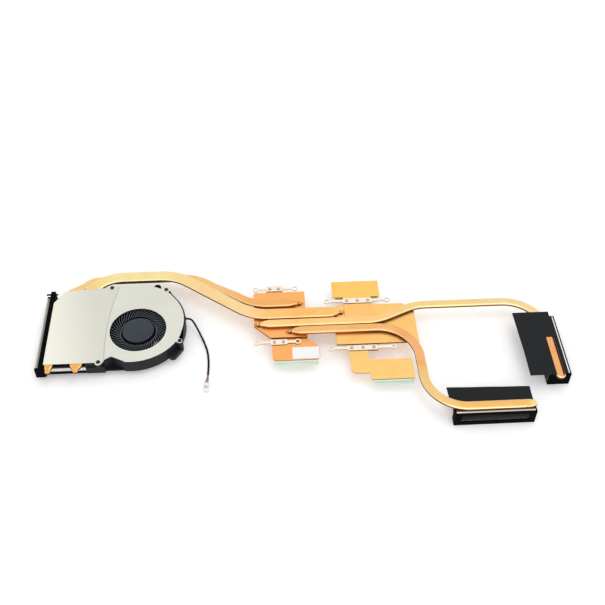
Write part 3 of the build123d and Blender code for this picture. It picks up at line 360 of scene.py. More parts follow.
def raise_by(tree, surface, height, strength, depth):
    """Relief on a surface from a height, its depth in millimetres."""
    bump = feed(tree, add(tree, "Bump"), Height=height, Strength=strength, Distance=depth * MM)
    feed(tree, surface, Normal=bump.outputs["Normal"])


def copper(name, face, deep, highlight_share, stretch, fades=(), edge_fades=(), side=PAINTED_SIDE_SHADE, side_fades=(),
           stains=(), shine=(0.26, 0.4)):
    """Copper with drawn lines, patches of a deeper tone, painted highlight on edges and painted shade on
    sides, stains and painted shadows.
    """
    finish, tree, surface = new_finish(name)
    veil = use(tree, TONE_PATCHES, First=WHITE, Second=deep, Size=42.0, Low=0.42, High=0.8)["Color"]
    toned = between(tree, 1.0, fade_along(tree, face, fades), veil, "MULTIPLY")
    edge = fade_along(tree, between(tree, highlight_share, toned, PAINTED_EDGE_HIGHLIGHT), edge_fades)
    color = use(tree, TURNED_EDGES, Face=toned, Edge=edge, Side=fade_along(tree, side, side_fades))["Color"]
    for x, y, z, reach, stain in stains:
        color = use(tree, STAIN_AND_SHADE, Face=color, Stain=stain, Middle=metres(x, y, z), Reach=reach * MM)["Color"]
    lines = use(tree, DRAWN_LINES, Stretch=stretch)["Lines"]
    feed(tree, surface, Base_Color=color, Metallic=1.0, Roughness=vary(tree, lines, *shine))
    raise_by(tree, surface, lines, 0.1, LINE_DEPTH)
    return finish


def pipe_copper(name, face, **more):
    """Drawn copper of a heat pipe."""
    return copper(name, face, PIPE_DEEP, 0.3, PIPE_LINES, side=BUS_SIDE, **more)


def sheet_copper(name, face, **more):
    """Rolled copper of a plate or spreader."""
    return copper(name, face, SHEET_DEEP, 0.15, SHEET_LINES, shine=(0.3, 0.4), **more)


def painted(name, face, second, rough, grain=2600.0, relief=0.2, edge=None, gloss=0.5, coat=0.0):
    """Coated metal or moulded plastic with a fine grain."""
    finish, tree, surface = new_finish(name)
    color = use(tree, TONE_PATCHES, First=face, Second=second, Size=22.0)["Color"]
    # A paler colour on rounded edges is a painted highlight.
    if edge:
        color = use(tree, TURNED_EDGES, Face=color, Edge=edge, Side=color, Turn=0.1)["Color"]
    pores = use(tree, PORES, Size=grain, Unevenness=0.6)
    feed(tree, surface, Base_Color=color, Roughness=vary(tree, pores["Mask"], *rough),
         Specular_IOR_Level=gloss, Coat_Weight=coat)
    raise_by(tree, surface, pores["Height"], relief, GRAIN_DEPTH)
    return finish


def cover_coat(name):
    """The coated cover sheet, with the line pressed between the duct and the fan drawn as a grey painted
    shade, and a painted highlight on its edges and sides.
    """
    finish, tree, surface = new_finish(name)
    fan = use(tree, TONE_PATCHES, First=paint(230, 230, 218), Second=paint(221, 221, 210),
              Size=14.0)["Color"]
    duct = fade_along(tree, paint(250, 249, 235), [(paint(222, 221, 209), ALONG_DUCT, -205.0, -150.0)])
    past = reckon(tree, "SUBTRACT", from_axis(tree, *STEP_MIDDLE), STEP_R * MM)
    in_duct = spread(tree, past, -STEP_HALF * MM, STEP_HALF * MM)
    off_line = spread(tree, reckon(tree, "ABSOLUTE", past), *metres(*STEP_LINE))
    # The pressed line is a grey line of painted shade.
    pressed = between(tree, off_line, paint(190, 187, 178), between(tree, in_duct, fan, duct))
    # Paler edges and sides are a painted highlight along the sheet's rim.
    color = use(tree, TURNED_EDGES, Face=pressed, Edge=paint(250, 249, 243),
                Side=paint(252, 251, 246))["Color"]
    pores = use(tree, PORES, Size=3200.0, Unevenness=0.6)
    feed(tree, surface, Base_Color=color, Roughness=vary(tree, pores["Mask"], 0.34, 0.46),
         Specular_IOR_Level=0.4)
    raise_by(tree, surface, pores["Height"], 0.1, GRAIN_DEPTH)
    return finish


def blade_plastic(name, side, top):
    """Dark moulding whose upward faces outside the hub are painted paler in patches, a painted light;
    inside the hub it stays dark, a painted shade.
    """
    finish, tree, surface = new_finish(name)
    upward = spread(tree, facing_up(tree), 0.76, 0.99)
    lit_tops = use(tree, TONE_PATCHES, First=top, Second=side, Size=160.0, Low=0.5, High=1.1)["Color"]
    # Inside the hub the dark side colour is a painted shade.
    outside_hub = spread(tree, from_axis(tree, *FAN), DARK_HUB_R * MM, PALE_BLADE_R * MM)
    color = between(tree, outside_hub, side, between(tree, upward, side, lit_tops))
    pores = use(tree, PORES, Size=2600.0, Unevenness=0.6)
    feed(tree, surface, Base_Color=color, Roughness=vary(tree, pores["Mask"], 0.34, 0.5),
         Specular_IOR_Level=0.25)
    raise_by(tree, surface, pores["Height"], 0.15, GRAIN_DEPTH)
    return finish


def metal(name, face, second, rough, stretch, edge=None, side=None):
    """Bare metal with rolled lines, and where given a colour on rounded edges and a darker one on upright
    sides, a painted shade.
    """
    finish, tree, surface = new_finish(name)
    color = use(tree, TONE_PATCHES, First=face, Second=second, Size=55.0)["Color"]
    if edge:
        color = use(tree, TURNED_EDGES, Face=color, Edge=edge, Side=side)["Color"]
    lines = use(tree, DRAWN_LINES, Stretch=stretch)["Lines"]
    feed(tree, surface, Base_Color=color, Metallic=1.0, Roughness=vary(tree, lines, *rough))
    raise_by(tree, surface, lines, 0.1, LINE_DEPTH)
    return finish


def fin_metal(name, along, face, second, upright, face_fades=(), side_fades=(), bare=0.45):
    """Fin aluminium whose folded edges meet in a line at every fin."""
    finish, tree, surface = new_finish(name)
    apart = feed(tree, add(tree, "SeparateXYZ"), Vector=place_on(tree))
    from_seam = reckon(tree, "PINGPONG", apart.outputs[along], FIN_PITCH / 2 * MM)
    seam = spread(tree, from_seam, 0.0, FIN_SEAM * MM)
    patches = use(tree, TONE_PATCHES, First=face, Second=second, Size=60.0)["Color"]
    folded = fade_along(tree, between(tree, seam, paint(192, 189, 183), patches), face_fades)
    color = use(tree, TURNED_EDGES, Face=folded, Edge=paint(150, 149, 146),
                Side=fade_along(tree, upright, side_fades))["Color"]
    lines = use(tree, DRAWN_LINES, Stretch=(300.0, 300.0, 900.0))["Lines"]
    feed(tree, surface, Base_Color=color, Metallic=bare, Roughness=vary(tree, lines, 0.32, 0.46))
    raise_by(tree, surface, seam, 0.35, SEAM_DEPTH)
    return finish


def foam(name, face, second, cell=900.0, gloss=0.1, relief=0.7):
    """Closed cell foam."""
    finish, tree, surface = new_finish(name)
    pores = use(tree, PORES, Size=cell, Unevenness=0.45)
    patches = use(tree, TONE_PATCHES, First=face, Second=second, Size=120.0, Low=0.35, High=0.7)["Color"]
    feed(tree, surface, Base_Color=between(tree, pores["Mask"], second, patches),
         Roughness=vary(tree, pores["Mask"], 0.95, 0.75), Specular_IOR_Level=gloss)
    raise_by(tree, surface, pores["Height"], relief, CELL_DEPTH)
    return finish


def film(name, face, second, rough=(0.28, 0.42), gloss=0.5, seen_through=0.0):
    """Thin plastic film, slightly uneven."""
    finish, tree, surface = new_finish(name)
    patches = use(tree, TONE_PATCHES, First=face, Second=second, Size=45.0)
    waves = use(tree, DRAWN_LINES, Stretch=(60.0, 90.0, 60.0))["Lines"]
    feed(tree, surface, Base_Color=patches["Color"], Roughness=vary(tree, patches["Mask"], *rough),
         Specular_IOR_Level=gloss, Transmission_Weight=seen_through, IOR=1.45)
    raise_by(tree, surface, waves, 0.15, WAVE_DEPTH)
    return finish


# The finishes of this object, each fade as a colour, a direction and where it begins and is full
FINISHES = {
    "wide_pipe": pipe_copper(
        "wide_pipe_copper", paint(251, 199, 122),
        fades=[(paint(249, 215, 155), LEFT, 14.0, 48.0), (paint(247, 228, 167), LEFT, 88.0, 118.0),
               (paint(244, 214, 140), LEFT, 150.0, 172.0), (paint(243, 180, 100), FRONT, -30.0, -5.0)],
        # The sides darken to the painted side shade towards the left.
        side_fades=[(PAINTED_SIDE_SHADE, LEFT, 30.0, 55.0)]),
    "narrow_pipe": pipe_copper(
        "narrow_pipe_copper", paint(241, 179, 107),
        fades=[(paint(244, 197, 135), LEFT, 35.0, 65.0), (paint(247, 206, 144), LEFT, 90.0, 130.0),
               (paint(243, 180, 100), FRONT, -30.0, -5.0)],
        # Painted sides: paler from the slope leftwards, a painted light, then the darker painted shade
        # further left.
        side_fades=[(paint(232, 178, 116), LEFT, 47.0, 54.0), (PAINTED_SIDE_SHADE, LEFT, 95.0, 120.0)]),
    "right_pipe": pipe_copper(
        "right_pipe_copper", paint(252, 206, 136),
        fades=[(paint(253, 210, 150), LEFT, 12.0, 30.0), (paint(242, 211, 144), RIGHT, 50.0, 100.0),
               (paint(242, 214, 161), RIGHT, 130.0, 165.0), (paint(237, 173, 113), FRONT, -14.0, 6.0),
               # The last fade is a painted shade along the pipe's right edge, beside the black tape.
               (paint(40, 27, 20), RIGHT, 196.9, 197.5)],
        # Painted shade on the rounded edges in the slot, then a painted highlight round the tip.
        edge_fades=[(paint(92, 50, 28), FRONT, -4.0, 6.0), (paint(255, 238, 205), FRONT, 45.0, 47.0)],
        side_fades=[(PAINTED_SIDE_SHADE, RIGHT, 35.0, 60.0)]),
    "front_pipe": pipe_copper(
        "front_pipe_copper", paint(241, 187, 121),
        fades=[(paint(242, 176, 116), RIGHT, 70.0, 84.0), (paint(234, 197, 128), FRONT, 20.0, 50.0),
               # The last fade is a painted highlight on the nose.
               (paint(240, 186, 112), RIGHT, 108.0, 116.0), (paint(246, 222, 138), RIGHT, 164.0, 169.0)],
        # Painted highlight on the rounded edges over the front fins.
        edge_fades=[(paint(255, 243, 196), RIGHT, 96.0, 112.0)],
        side_fades=[(PAINTED_SIDE_SHADE, RIGHT, 35.0, 60.0)]),
    "cpu_sheet": sheet_copper(
        "cpu_plate_copper", paint(251, 181, 110),
        stains=[(-34.6, 16.8, 12.5, 4.6, SOLDER_STAIN), (-9.6, 8.7, 12.5, 4.8, SOLDER_STAIN),
                (2.0, 38.2, 12.5, 4.4, SOLDER_STAIN)]),
    "cpu_front_sheet": sheet_copper(
        # A painted shadow in the hole of the clip's ring, laid on like a stain.
        "cpu_front_copper", paint(250, 177, 104), stains=[(-2.3, -0.3, 11.0, 3.8, HOLE_SHADE)]),
    "gpu_sheet": sheet_copper(
        "gpu_plate_copper", paint(252, 200, 121), stains=[(35.2, 26.9, 12.5, 4.8, SOLDER_STAIN)]),
    "gpu_rear_sheet": sheet_copper(
        "gpu_rear_copper", paint(252, 203, 110), fades=[(paint(250, 197, 120), FRONT, -46.0, -42.0)]),
    "gpu_front_sheet": sheet_copper("gpu_front_copper", paint(252, 205, 126)),
    "block": copper(
        "contact_block_copper", paint(240, 172, 106), SHEET_DEEP, 0.2, (1800.0, 40.0, 900.0),
        side=paint(180, 116, 64), shine=(0.14, 0.3)),
    "crimp": copper(
        "crimped_end_copper", paint(158, 74, 44), paint(196, 176, 160), 0.12, PIPE_LINES,
        side=paint(96, 42, 26)),
    "winding": copper(
        "coil_wire", paint(214, 116, 62), PIPE_DEEP, 0.15, (60.0, 60.0, 4200.0), side=paint(190, 100, 52)),
    "cover": cover_coat("cover_coat"),
    "housing": painted(
        "housing_plastic", paint(25, 29, 31), paint(19, 22, 24), (0.42, 0.58), grain=2200.0, relief=0.3,
        edge=paint(44, 49, 52), gloss=0.22),
    "rotor": blade_plastic("rotor_plastic", paint(10, 11, 13), paint(108, 116, 124)),
    "hub": painted(
        "hub_cap_plastic", paint(50, 58, 66), paint(42, 49, 56), (0.32, 0.46), relief=0.12,
        edge=paint(84, 92, 100), gloss=0.3),
    "screw": painted(
        "screw_black_coat", paint(24, 24, 25), paint(16, 16, 17), (0.3, 0.44), edge=paint(70, 70, 70),
        gloss=0.3),
    "clip": metal(
        "clip_spring_steel", paint(254, 240, 220), paint(246, 231, 209), (0.24, 0.38), (60.0, 700.0, 900.0),
        # The dark side colour is a painted shade along the clips' outlines.
        edge=paint(248, 242, 232), side=paint(84, 74, 66)),
    "rivet": metal(
        "rivet_copper", paint(218, 194, 176), paint(204, 174, 154), (0.28, 0.42), EVEN_LINES,
        # The darker edge and side colours are painted shade on the domes' slopes.
        edge=paint(188, 156, 136), side=paint(150, 118, 100)),
    # Painted shade: upright faces dark grey and darker towards their tops; a painted shadow on the tops
    # next to the pipe.
    "fins_x": fin_metal(
        "fin_aluminium_row", "X", paint(254, 244, 230), paint(248, 237, 222), paint(84, 84, 86),
        face_fades=[(paint(104, 66, 36), BACK, -76.0, -75.4)],
        side_fades=[(paint(40, 39, 40), UP, 6.5, 8.0)], bare=0.1),
    # The dark grey upright faces are painted shade between the fins.
    "fins_y": fin_metal(
        "fin_aluminium_column", "Y", paint(250, 249, 246), paint(238, 237, 234), paint(46, 46, 48)),
    # Painted shade: the tops go near black right of the end strip under the cover, and the upright faces
    # near their tops.
    "left_fins": fin_metal(
        "fin_aluminium_left", "Y", paint(150, 150, 141), paint(130, 130, 123), paint(232, 229, 219),
        face_fades=[(paint(216, 216, 207), LEFT, 204.4, 204.8), (paint(24, 24, 24), RIGHT, -201.8, -201.0)],
        side_fades=[(paint(26, 26, 26), UP, 10.6, 11.0)]),
    "foam": foam("gasket_foam", paint(10, 10, 11), paint(5, 5, 6), gloss=0.05),
    "pad": foam(
        "thermal_pad", paint(238, 247, 236), paint(226, 240, 226), cell=2600.0, gloss=0.3, relief=0.3),
    "flap": film("flap_black_film", paint(17, 20, 23), paint(12, 15, 17), gloss=0.22),
    "green_film": film(
        "release_film", paint(234, 247, 232), paint(218, 241, 220), rough=(0.18, 0.3), seen_through=0.12),
    "label": painted(
        "label_paper", paint(254, 254, 254), paint(248, 248, 248), (0.6, 0.75), grain=5000.0, relief=0.1,
        gloss=0.3),
    "sleeve": painted(
        "sleeve_weave", paint(14, 14, 15), paint(24, 24, 25), (0.5, 0.7), grain=2400.0, relief=0.6,
        gloss=0.15),
    "wire_red": painted("wire_red_skin", paint(206, 146, 112), paint(184, 120, 88), (0.36, 0.5), gloss=0.3),
    "wire_dark": painted("wire_dark_skin", paint(104, 88, 78), paint(82, 69, 62), (0.36, 0.5), gloss=0.3),
    "plug": painted(
        "plug_nylon", paint(252, 250, 246), paint(246, 243, 235), (0.4, 0.55), grain=3000.0, relief=0.12,
        gloss=0.4),
    "contact": metal(
        "plug_contact_tin", paint(206, 202, 194), paint(180, 176, 168), (0.24, 0.36), EVEN_LINES),
    "motor_steel": metal(
        "motor_steel", paint(168, 168, 170), paint(140, 140, 144), (0.28, 0.42), TURNED_LINES),
    "magnet": painted("magnet_ferrite", paint(48, 46, 45), paint(38, 36, 36), (0.5, 0.66)),
    "bearing": metal(
        "bearing_bronze", paint(186, 152, 96), paint(160, 126, 76), (0.3, 0.44), TURNED_LINES),
    "board": painted("board_lacquer", paint(32, 84, 52), paint(24, 66, 42), (0.25, 0.4), coat=0.3),
}


# Ways of working on a mesh

def pick(piece):
    """Select one piece alone."""
    bpy.ops.object.select_all(action="DESELECT")
    piece.select_set(True)
    bpy.context.view_layer.objects.active = piece


def open_mesh(piece):
    """Start work on a piece's mesh with nothing selected."""
    pick(piece)
    bpy.ops.object.mode_set(mode="EDIT")
    bpy.ops.mesh.select_mode(type="FACE")
    bpy.ops.mesh.select_all(action="DESELECT")


def close_mesh():
    """Go back from a piece's mesh to the whole piece."""
    bpy.ops.object.mode_set(mode="OBJECT")


def choose(piece, kind, test):
    """Select the faces or points of the open mesh that pass a test."""
    bpy.ops.mesh.select_mode(type={"faces": "FACE", "verts": "VERT"}[kind])
    bpy.ops.mesh.select_all(action="DESELECT")
    mesh = bmesh.from_edit_mesh(piece.data)
    for element in getattr(mesh, kind):
        if test(element):
            element.select_set(True)
    mesh.select_flush_mode()
    bmesh.update_edit_mesh(piece.data)


def step_top(piece, steps):
    """Rings stepped into the top of a piece, each with its width and depth."""
    open_mesh(piece)
    choose(piece, "faces", lambda face: face.normal.z > 0.9)
    for width, depth in steps:
        bpy.ops.mesh.inset(thickness=width * MM, depth=depth * MM)
    close_mesh()


def settle_place():
    """Make the place, turn and scale of the selected piece part of its mesh."""
    bpy.ops.object.transform_apply(location=True, rotation=True, scale=True)


def apply_all(piece):
    """Apply every modifier and the place of a piece."""
    pick(piece)
    for modifier in list(piece.modifiers):
        bpy.ops.object.modifier_apply(modifier=modifier.name)
    settle_place()


def round_edges(piece, width, segments=2, angle=35.0):
    """Round the sharp edges of a piece."""
    bevel = piece.modifiers.new("rounded", "BEVEL")
    bevel.width = width * MM
    bevel.segments = segments
    bevel.limit_method = "ANGLE"
    bevel.angle_limit = math.radians(angle)
    bevel.use_clamp_overlap = False
    bevel.harden_normals = False
    apply_all(piece)


def shade(piece, angle=35.0):
    """Shade a piece smooth, apart from its sharp edges."""
    pick(piece)
    bpy.ops.object.shade_smooth_by_angle(angle=math.radians(angle))
    even = piece.modifiers.new("even_shading", "WEIGHTED_NORMAL")
    even.keep_sharp = True
    apply_all(piece)


def reach_of(piece):
    """The lowest and highest corner of a piece, in millimetres."""
    points = [point.co / MM for point in piece.data.vertices]
    low = [min(point[axis] for point in points) for axis in range(3)]
    high = [max(point[axis] for point in points) for axis in range(3)]
    return low, high


def slice_up(piece, step, axes=(0, 1)):
    """Cut a piece across at even steps, so that it can bend."""
    low, high = reach_of(piece)
    open_mesh(piece)
    for axis in axes:
        cuts = max(1, round((high[axis] - low[axis]) / step))
        for number in range(1, cuts):
            middle = [0.0, 0.0, 0.0]
            middle[axis] = (low[axis] + (high[axis] - low[axis]) * number / cuts) * MM
            facing = [0.0, 0.0, 0.0]
            facing[axis] = 1.0
            bpy.ops.mesh.select_all(action="SELECT")
            bpy.ops.mesh.bisect(plane_co=middle, plane_no=facing)
    close_mesh()


def move_points(piece, rule):
    """Move every point of a piece by what a rule gives for its place, all in millimetres."""
    for point in piece.data.vertices:
        point.co += Vector(rule(point.co / MM, point.normal)) * MM


def bring_in(name, data):
    """A new object of the scene from a mesh, a curve, a camera or a lamp."""
    holder = bpy.data.objects.new(name, data)
    bpy.context.scene.collection.objects.link(holder)
    return holder


def settle(piece, finish, slot, body, *replaced):
    """Give a piece its finish and its body, and say which solids it stands for. The slot is not used."""
    piece.data.materials.clear()
    piece.data.materials.append(FINISHES[finish])
    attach(piece, body)
    if replaced:
        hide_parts(*replaced)


def copy_of(node, name):
    """A copy of a solid's mesh with its triangles joined into whole faces."""
    piece = bring_in(name, nodes[node].data.copy())
    open_mesh(piece)
    bpy.ops.mesh.select_all(action="SELECT")
    bpy.ops.mesh.customdata_custom_splitnormals_clear()
    bpy.ops.mesh.remove_doubles(threshold=0.000002)
    bpy.ops.mesh.dissolve_limited(angle_limit=math.radians(0.6))
    close_mesh()
    return piece


def dress(node, finish, slot, body="frame", width=0.15, segments=2, rule=None):
    """A solid's own shape with rounded edges and its finish."""
    piece = copy_of(node, node + "_dressed")
    if rule:
        move_points(piece, rule)
    if width:
        round_edges(piece, width, segments)
    shade(piece)
    settle(piece, finish, slot, body, node)


def dress_film(node, finish, slot, step, rule):
    """A thin sheet that lies a little uneven."""
    piece = copy_of(node, node + "_dressed")
    slice_up(piece, step)
    move_points(piece, rule)
    shade(piece, 50.0)
    settle(piece, finish, slot, "frame", node)


def dress_foam(node, finish, slot, width, step, sink):
    """A foam strip or pad with soft edges and an uneven face."""
    piece = copy_of(node, node + "_dressed")
    round_edges(piece, width, 3)
    slice_up(piece, step)
    move_points(piece, lambda place, normal: normal * -sink * (0.5 + 0.5 * noise.noise(place * 0.35)))
    shade(piece, 60.0)
    settle(piece, finish, slot, "frame", node)


def drum(name, x, y, z, radius, height, sides=32):
    """A round blank standing on a level."""
    bpy.ops.object.select_all(action="DESELECT")
    bpy.ops.mesh.primitive_cylinder_add(vertices=sides, radius=radius * MM, depth=height * MM,
                                        location=metres(x, y, z + height / 2))
    piece = bpy.context.object
    piece.name = name
    settle_place()
    return piece


def block(name, low, high):
    """A square blank between two corners."""
    middle = metres(*((a + b) / 2 for a, b in zip(low, high)))
    size = metres(*(b - a for a, b in zip(low, high)))
    bpy.ops.object.select_all(action="DESELECT")
    bpy.ops.mesh.primitive_cube_add(size=1, location=middle, scale=size)
    piece = bpy.context.object
    piece.name = name
    settle_place()
    return piece


def cut_out(piece, cutter):
    """Take one shape out of a piece."""
    cut = piece.modifiers.new("cut", "BOOLEAN")
    cut.operation = "DIFFERENCE"
    cut.solver = "EXACT"
    cut.object = cutter
    apply_all(piece)
    bpy.data.objects.remove(cutter)


def row(name, low, high):
    """Equal blocks side by side along X, one for each way of the plug."""
    piece = block(name, low, high)
    repeat = piece.modifiers.new("repeat", "ARRAY")
    repeat.count = PLUG_WAYS
    repeat.use_relative_offset = False
    repeat.use_constant_offset = True
    repeat.constant_offset_displace = metres(PLUG_PITCH, 0.0, 0.0)
    apply_all(piece)
    return piece


def repeat_at(first, name, places):
    """A piece at the first of several places, then its copies at the others, each with its own mesh."""
    yield first
    for number, place in enumerate(places[1:], 2):
        twin = bring_in(f"{name}_{number}", first.data.copy())
        pick(twin)
        bpy.ops.transform.translate(value=metres(*(b - a for a, b in zip(places[0], place))))
        settle_place()
        yield twin


# Camera, floor and light

def set_camera():
    """The camera where the photograph was taken from."""
    eye = bpy.data.cameras.new("photo_camera")
    eye.lens = LENS
    eye.sensor_width = SENSOR
    eye.clip_start = 0.01
    holder = bring_in("photo_camera", eye)
    holder.location = EYE_PLACE
    holder.rotation_euler = (math.radians(EYE_TILT), 0.0, math.radians(EYE_TURN))
    bpy.context.scene.camera = holder


def seen_rays(tree):
    """One where a ray comes from the camera, from a gloss or through glass."""
    path = add(tree, "LightPath")
    direct = reckon(tree, "MAXIMUM", path.outputs["Is Camera Ray"], path.outputs["Is Glossy Ray"])
    return reckon(tree, "MAXIMUM", direct, path.outputs["Is Transmission Ray"])


def lay_floor():
    """A white floor that keeps the shadow."""
    bpy.ops.object.select_all(action="DESELECT")
    bpy.ops.mesh.primitive_plane_add(size=6.0, location=(0.0, 0.0, -0.0001))
    floor = bpy.context.object
    floor.name = "floor"
    paper = bpy.data.materials.new("floor_paper")
    paper.use_nodes = True
    tree = paper.node_tree
    tree.nodes.clear()
    matt = feed(tree, add(tree, "BsdfDiffuse"), Color=(0.97, 0.97, 0.97, 1.0))
    strength = vary(tree, seen_rays(tree), 0.0, FLOOR_GLOW)
    glow = feed(tree, add(tree, "Emission"), Color=WHITE, Strength=strength)
    both = add(tree, "AddShader")
    tree.links.new(matt.outputs[0], both.inputs[0])
    tree.links.new(glow.outputs[0], both.inputs[1])
    feed(tree, add(tree, "OutputMaterial"), Surface=both.outputs[0])
    floor.data.materials.append(paper)


def softbox(name, place, width, depth, power):
    """A flat lamp that faces the middle of the part."""
    lamp = bpy.data.lights.new(name, "AREA")
    lamp.shape = "RECTANGLE"
    lamp.size = width
    lamp.size_y = depth
    lamp.energy = power
    holder = bring_in(name, lamp)
    holder.location = place
    holder.rotation_euler = (-Vector(place)).to_track_quat("-Z", "Y").to_euler()


def set_light():
    """A plain white room with soft lamps above and in front."""
    room = bpy.data.worlds.new("white_room")
    room.use_nodes = True
    tree = room.node_tree
    tree.nodes.clear()
    strength = vary(tree, seen_rays(tree), ROOM_LIGHT, 1.0)
    glow = feed(tree, add(tree, "Background"), Color=WHITE, Strength=strength)
    feed(tree, add(tree, "OutputWorld"), Surface=glow.outputs[0])
    bpy.context.scene.world = room
    softbox(*TOP_LAMP)
    softbox(*FRONT_LAMP)
    bpy.context.scene.view_settings.view_transform = "Standard"


# Fan lead

def line(name, route, radius, rings):
    """A round lead on one smooth line through its route."""
    curve = bpy.data.curves.new(name, "CURVE")
    curve.dimensions = "3D"
    curve.resolution_u = 12
    curve.bevel_depth = radius * MM
    curve.bevel_resolution = rings
    curve.use_fill_caps = True
    spline = curve.splines.new("NURBS")
    spline.points.add(len(route) - 1)
    for point, place in zip(spline.points, route):
        point.co = (*metres(*place), 1.0)
    spline.order_u = 3
    spline.use_endpoint_u = True
    return bring_in(name, curve)


def make_plug():
    """A small white plug with guide ribs, contact windows and tin contacts."""
    x0, y0, z0 = PLUG_LOW
    x1, y1, z1 = PLUG_HIGH
    plug = block("fan_plug_body", (x0 + PLUG_RIB, y0, z0), (x1 - PLUG_RIB, y1, z1))
    open_mesh(plug)
    for side in (-1, 1):
        choose(plug, "faces", lambda face: face.normal.x * side > 0.9)
        bpy.ops.mesh.inset(thickness=PLUG_RIB_INSET * MM, depth=0.0)
        outwards = {"value": metres(side * PLUG_RIB, 0.0, 0.0)}
        bpy.ops.mesh.extrude_region_move(TRANSFORM_OT_translate=outwards)
    close_mesh()
    left = x0 + 2 * PLUG_RIB
    right = left + PLUG_SLOT
    cut_out(plug, row("window_cutter", (left, y0 + 2.6, z1 - 0.7), (right, y0 + 5.4, z1 + 0.5)))
    cut_out(plug, row("mouth_cutter", (left, y0 - 0.5, 0.9), (right, y0 + 1.6, 1.8)))
    cut_out(plug, row("wire_cutter", (left, y1 - 1.4, 0.6), (right, y1 + 0.5, 1.4)))
    round_edges(plug, PLUG_ROUND)
    shade(plug)
    settle(plug, "plug", "plug_white", "frame", "fan_plug")
    tins = row("fan_plug_contacts", (left + TIN_INSET, y0 + 2.9, z1 - 0.62),
               (right - TIN_INSET, y0 + 5.1, z1 - 0.3))
    round_edges(tins, TIN_ROUND)
    shade(tins)
    settle(tins, "contact", "spring_steel", "frame")
    return [plug, tins]


def make_lead():
    """The sleeved lead, its bare wires and the plug."""
    sleeve = line("lead_sleeve_line", SLEEVE_ROUTE, SLEEVE_R, 5)
    settle(sleeve, "sleeve", "lead_black", "frame", "lead_sleeve")
    for number, share in enumerate(WIRE_SHARES):
        lift, finish = (WIRE_LIFT, "wire_dark") if number % 2 else (-WIRE_LIFT, "wire_red")
        route = [(x + share * spreading, y, z + lift * (1 - step / (len(WIRES_ROUTE) - 1)))
                 for step, ((x, y, z), spreading) in enumerate(zip(WIRES_ROUTE, WIRE_SPREADS))]
        wire = line(f"lead_wire_{number + 1}", route, WIRE_R, 3)
        settle(wire, finish, "lead_pale", "frame", "lead_wires")
    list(make_plug())


# Fasteners

def make_screws():
    """Black pan head screws with a cross recess."""
    x, y, z = SCREWS[0]
    first = drum("cover_screw_1", x, y, z, SCREW_R, SCREW_T, 40)
    round_edges(first, SCREW_ROUND, 3)
    for across, along in ((RECESS_REACH, RECESS_HALF), (RECESS_HALF, RECESS_REACH)):
        low = (x - across, y - along, z + RECESS_FLOOR)
        high = (x + across, y + along, z + RECESS_TOP)
        cut_out(first, block("slot_cutter", low, high))
    shade(first)
    for screw in repeat_at(first, "cover_screw", SCREWS):
        settle(screw, "screw", "black_steel", "frame", "cover_screws")


def make_rivets():
    """Domed rivet heads on the clips."""
    first = drum("clip_rivet_1", *RIVETS[0], RIVET_R, RIVET_T, 28)
    round_edges(first, RIVET_DOME, 5)
    shade(first, 60.0)
    for rivet in repeat_at(first, "clip_rivet", RIVETS):
        settle(rivet, "rivet", "copper", "frame", "clip_rivets")


# Small forms on the blower and the pipes

def make_hub_cap():
    """The thin cap on the impeller's hub, with a shallow ring pressed into it."""
    cap = drum("hub_cap", *FAN, HUB_TOP, CAP_R, CAP_T, 96)
    step_top(cap, CAP_STEPS)
    round_edges(cap, CAP_ROUND, angle=25.0)
    shade(cap)
    settle(cap, "hub", "rotor_plastic", "rotor")


def make_intake_lip():
    """The rolled edge round the intake."""
    middle = metres(*FAN, COVER_TOP)
    bpy.ops.object.select_all(action="DESELECT")
    bpy.ops.mesh.primitive_torus_add(location=middle, major_segments=96, minor_segments=12,
                                     major_radius=LIP_R * MM, minor_radius=LIP_HALF * MM)
    lip = bpy.context.object
    lip.name = "intake_lip"
    settle_place()
    open_mesh(lip)
    for way, share in ((-1, LIP_BELOW), (1, LIP_ABOVE)):
        choose(lip, "verts", lambda point: (point.co.z - middle[2]) * way > 0.01 * MM)
        bpy.ops.transform.resize(value=(1.0, 1.0, share), center_override=middle)
    close_mesh()
    shade(lip, 60.0)
    settle(lip, "cover", "cover_sheet", "frame")


def make_crimps():
    """The dark pinched ends of the pipes on the plates, thinner at the tip."""
    for number, (x, y, z, way) in enumerate(CRIMPS, 1):
        low = (x - CRIMP_REACH, y - CRIMP_HALF, z - CRIMP_BELOW)
        high = (x + CRIMP_REACH, y + CRIMP_HALF, z + CRIMP_ABOVE)
        crimp = block(f"pipe_crimp_{number}", low, high)
        open_mesh(crimp)
        choose(crimp, "faces", lambda face: face.normal.x * way > 0.9)
        bpy.ops.transform.resize(value=CRIMP_TIP, center_override=metres(x, y, z + CRIMP_LINE))
        close_mesh()
        round_edges(crimp, CRIMP_ROUND, 3)
        shade(crimp, 60.0)
        settle(crimp, "crimp", "copper", "frame")


def make_blunt_ends():
    """The pinched ends of the pipes on the left fins, hammered flat and round."""
    for number, (x, y, z, finish) in enumerate(BLUNT_ENDS, 1):
        end = drum(f"pipe_blunt_end_{number}", x, y, z, BLUNT_R, BLUNT_T, 40)
        step_top(end, BLUNT_STEPS)
        round_edges(end, BLUNT_ROUND, 4)
        shade(end, 60.0)
        settle(end, finish, "copper", "frame")


def squeeze_nose(place, normal):
    """The nose gets thinner towards its tip."""
    share = max(0.0, (place.x - NOSE_PLACE[0]) / NOSE_REACH[0])
    middle = NOSE_PLACE[2] + NOSE_HEIGHT / 2
    return (0.0, 0.0, NOSE_SQUEEZE * share * share * (middle - place.z))


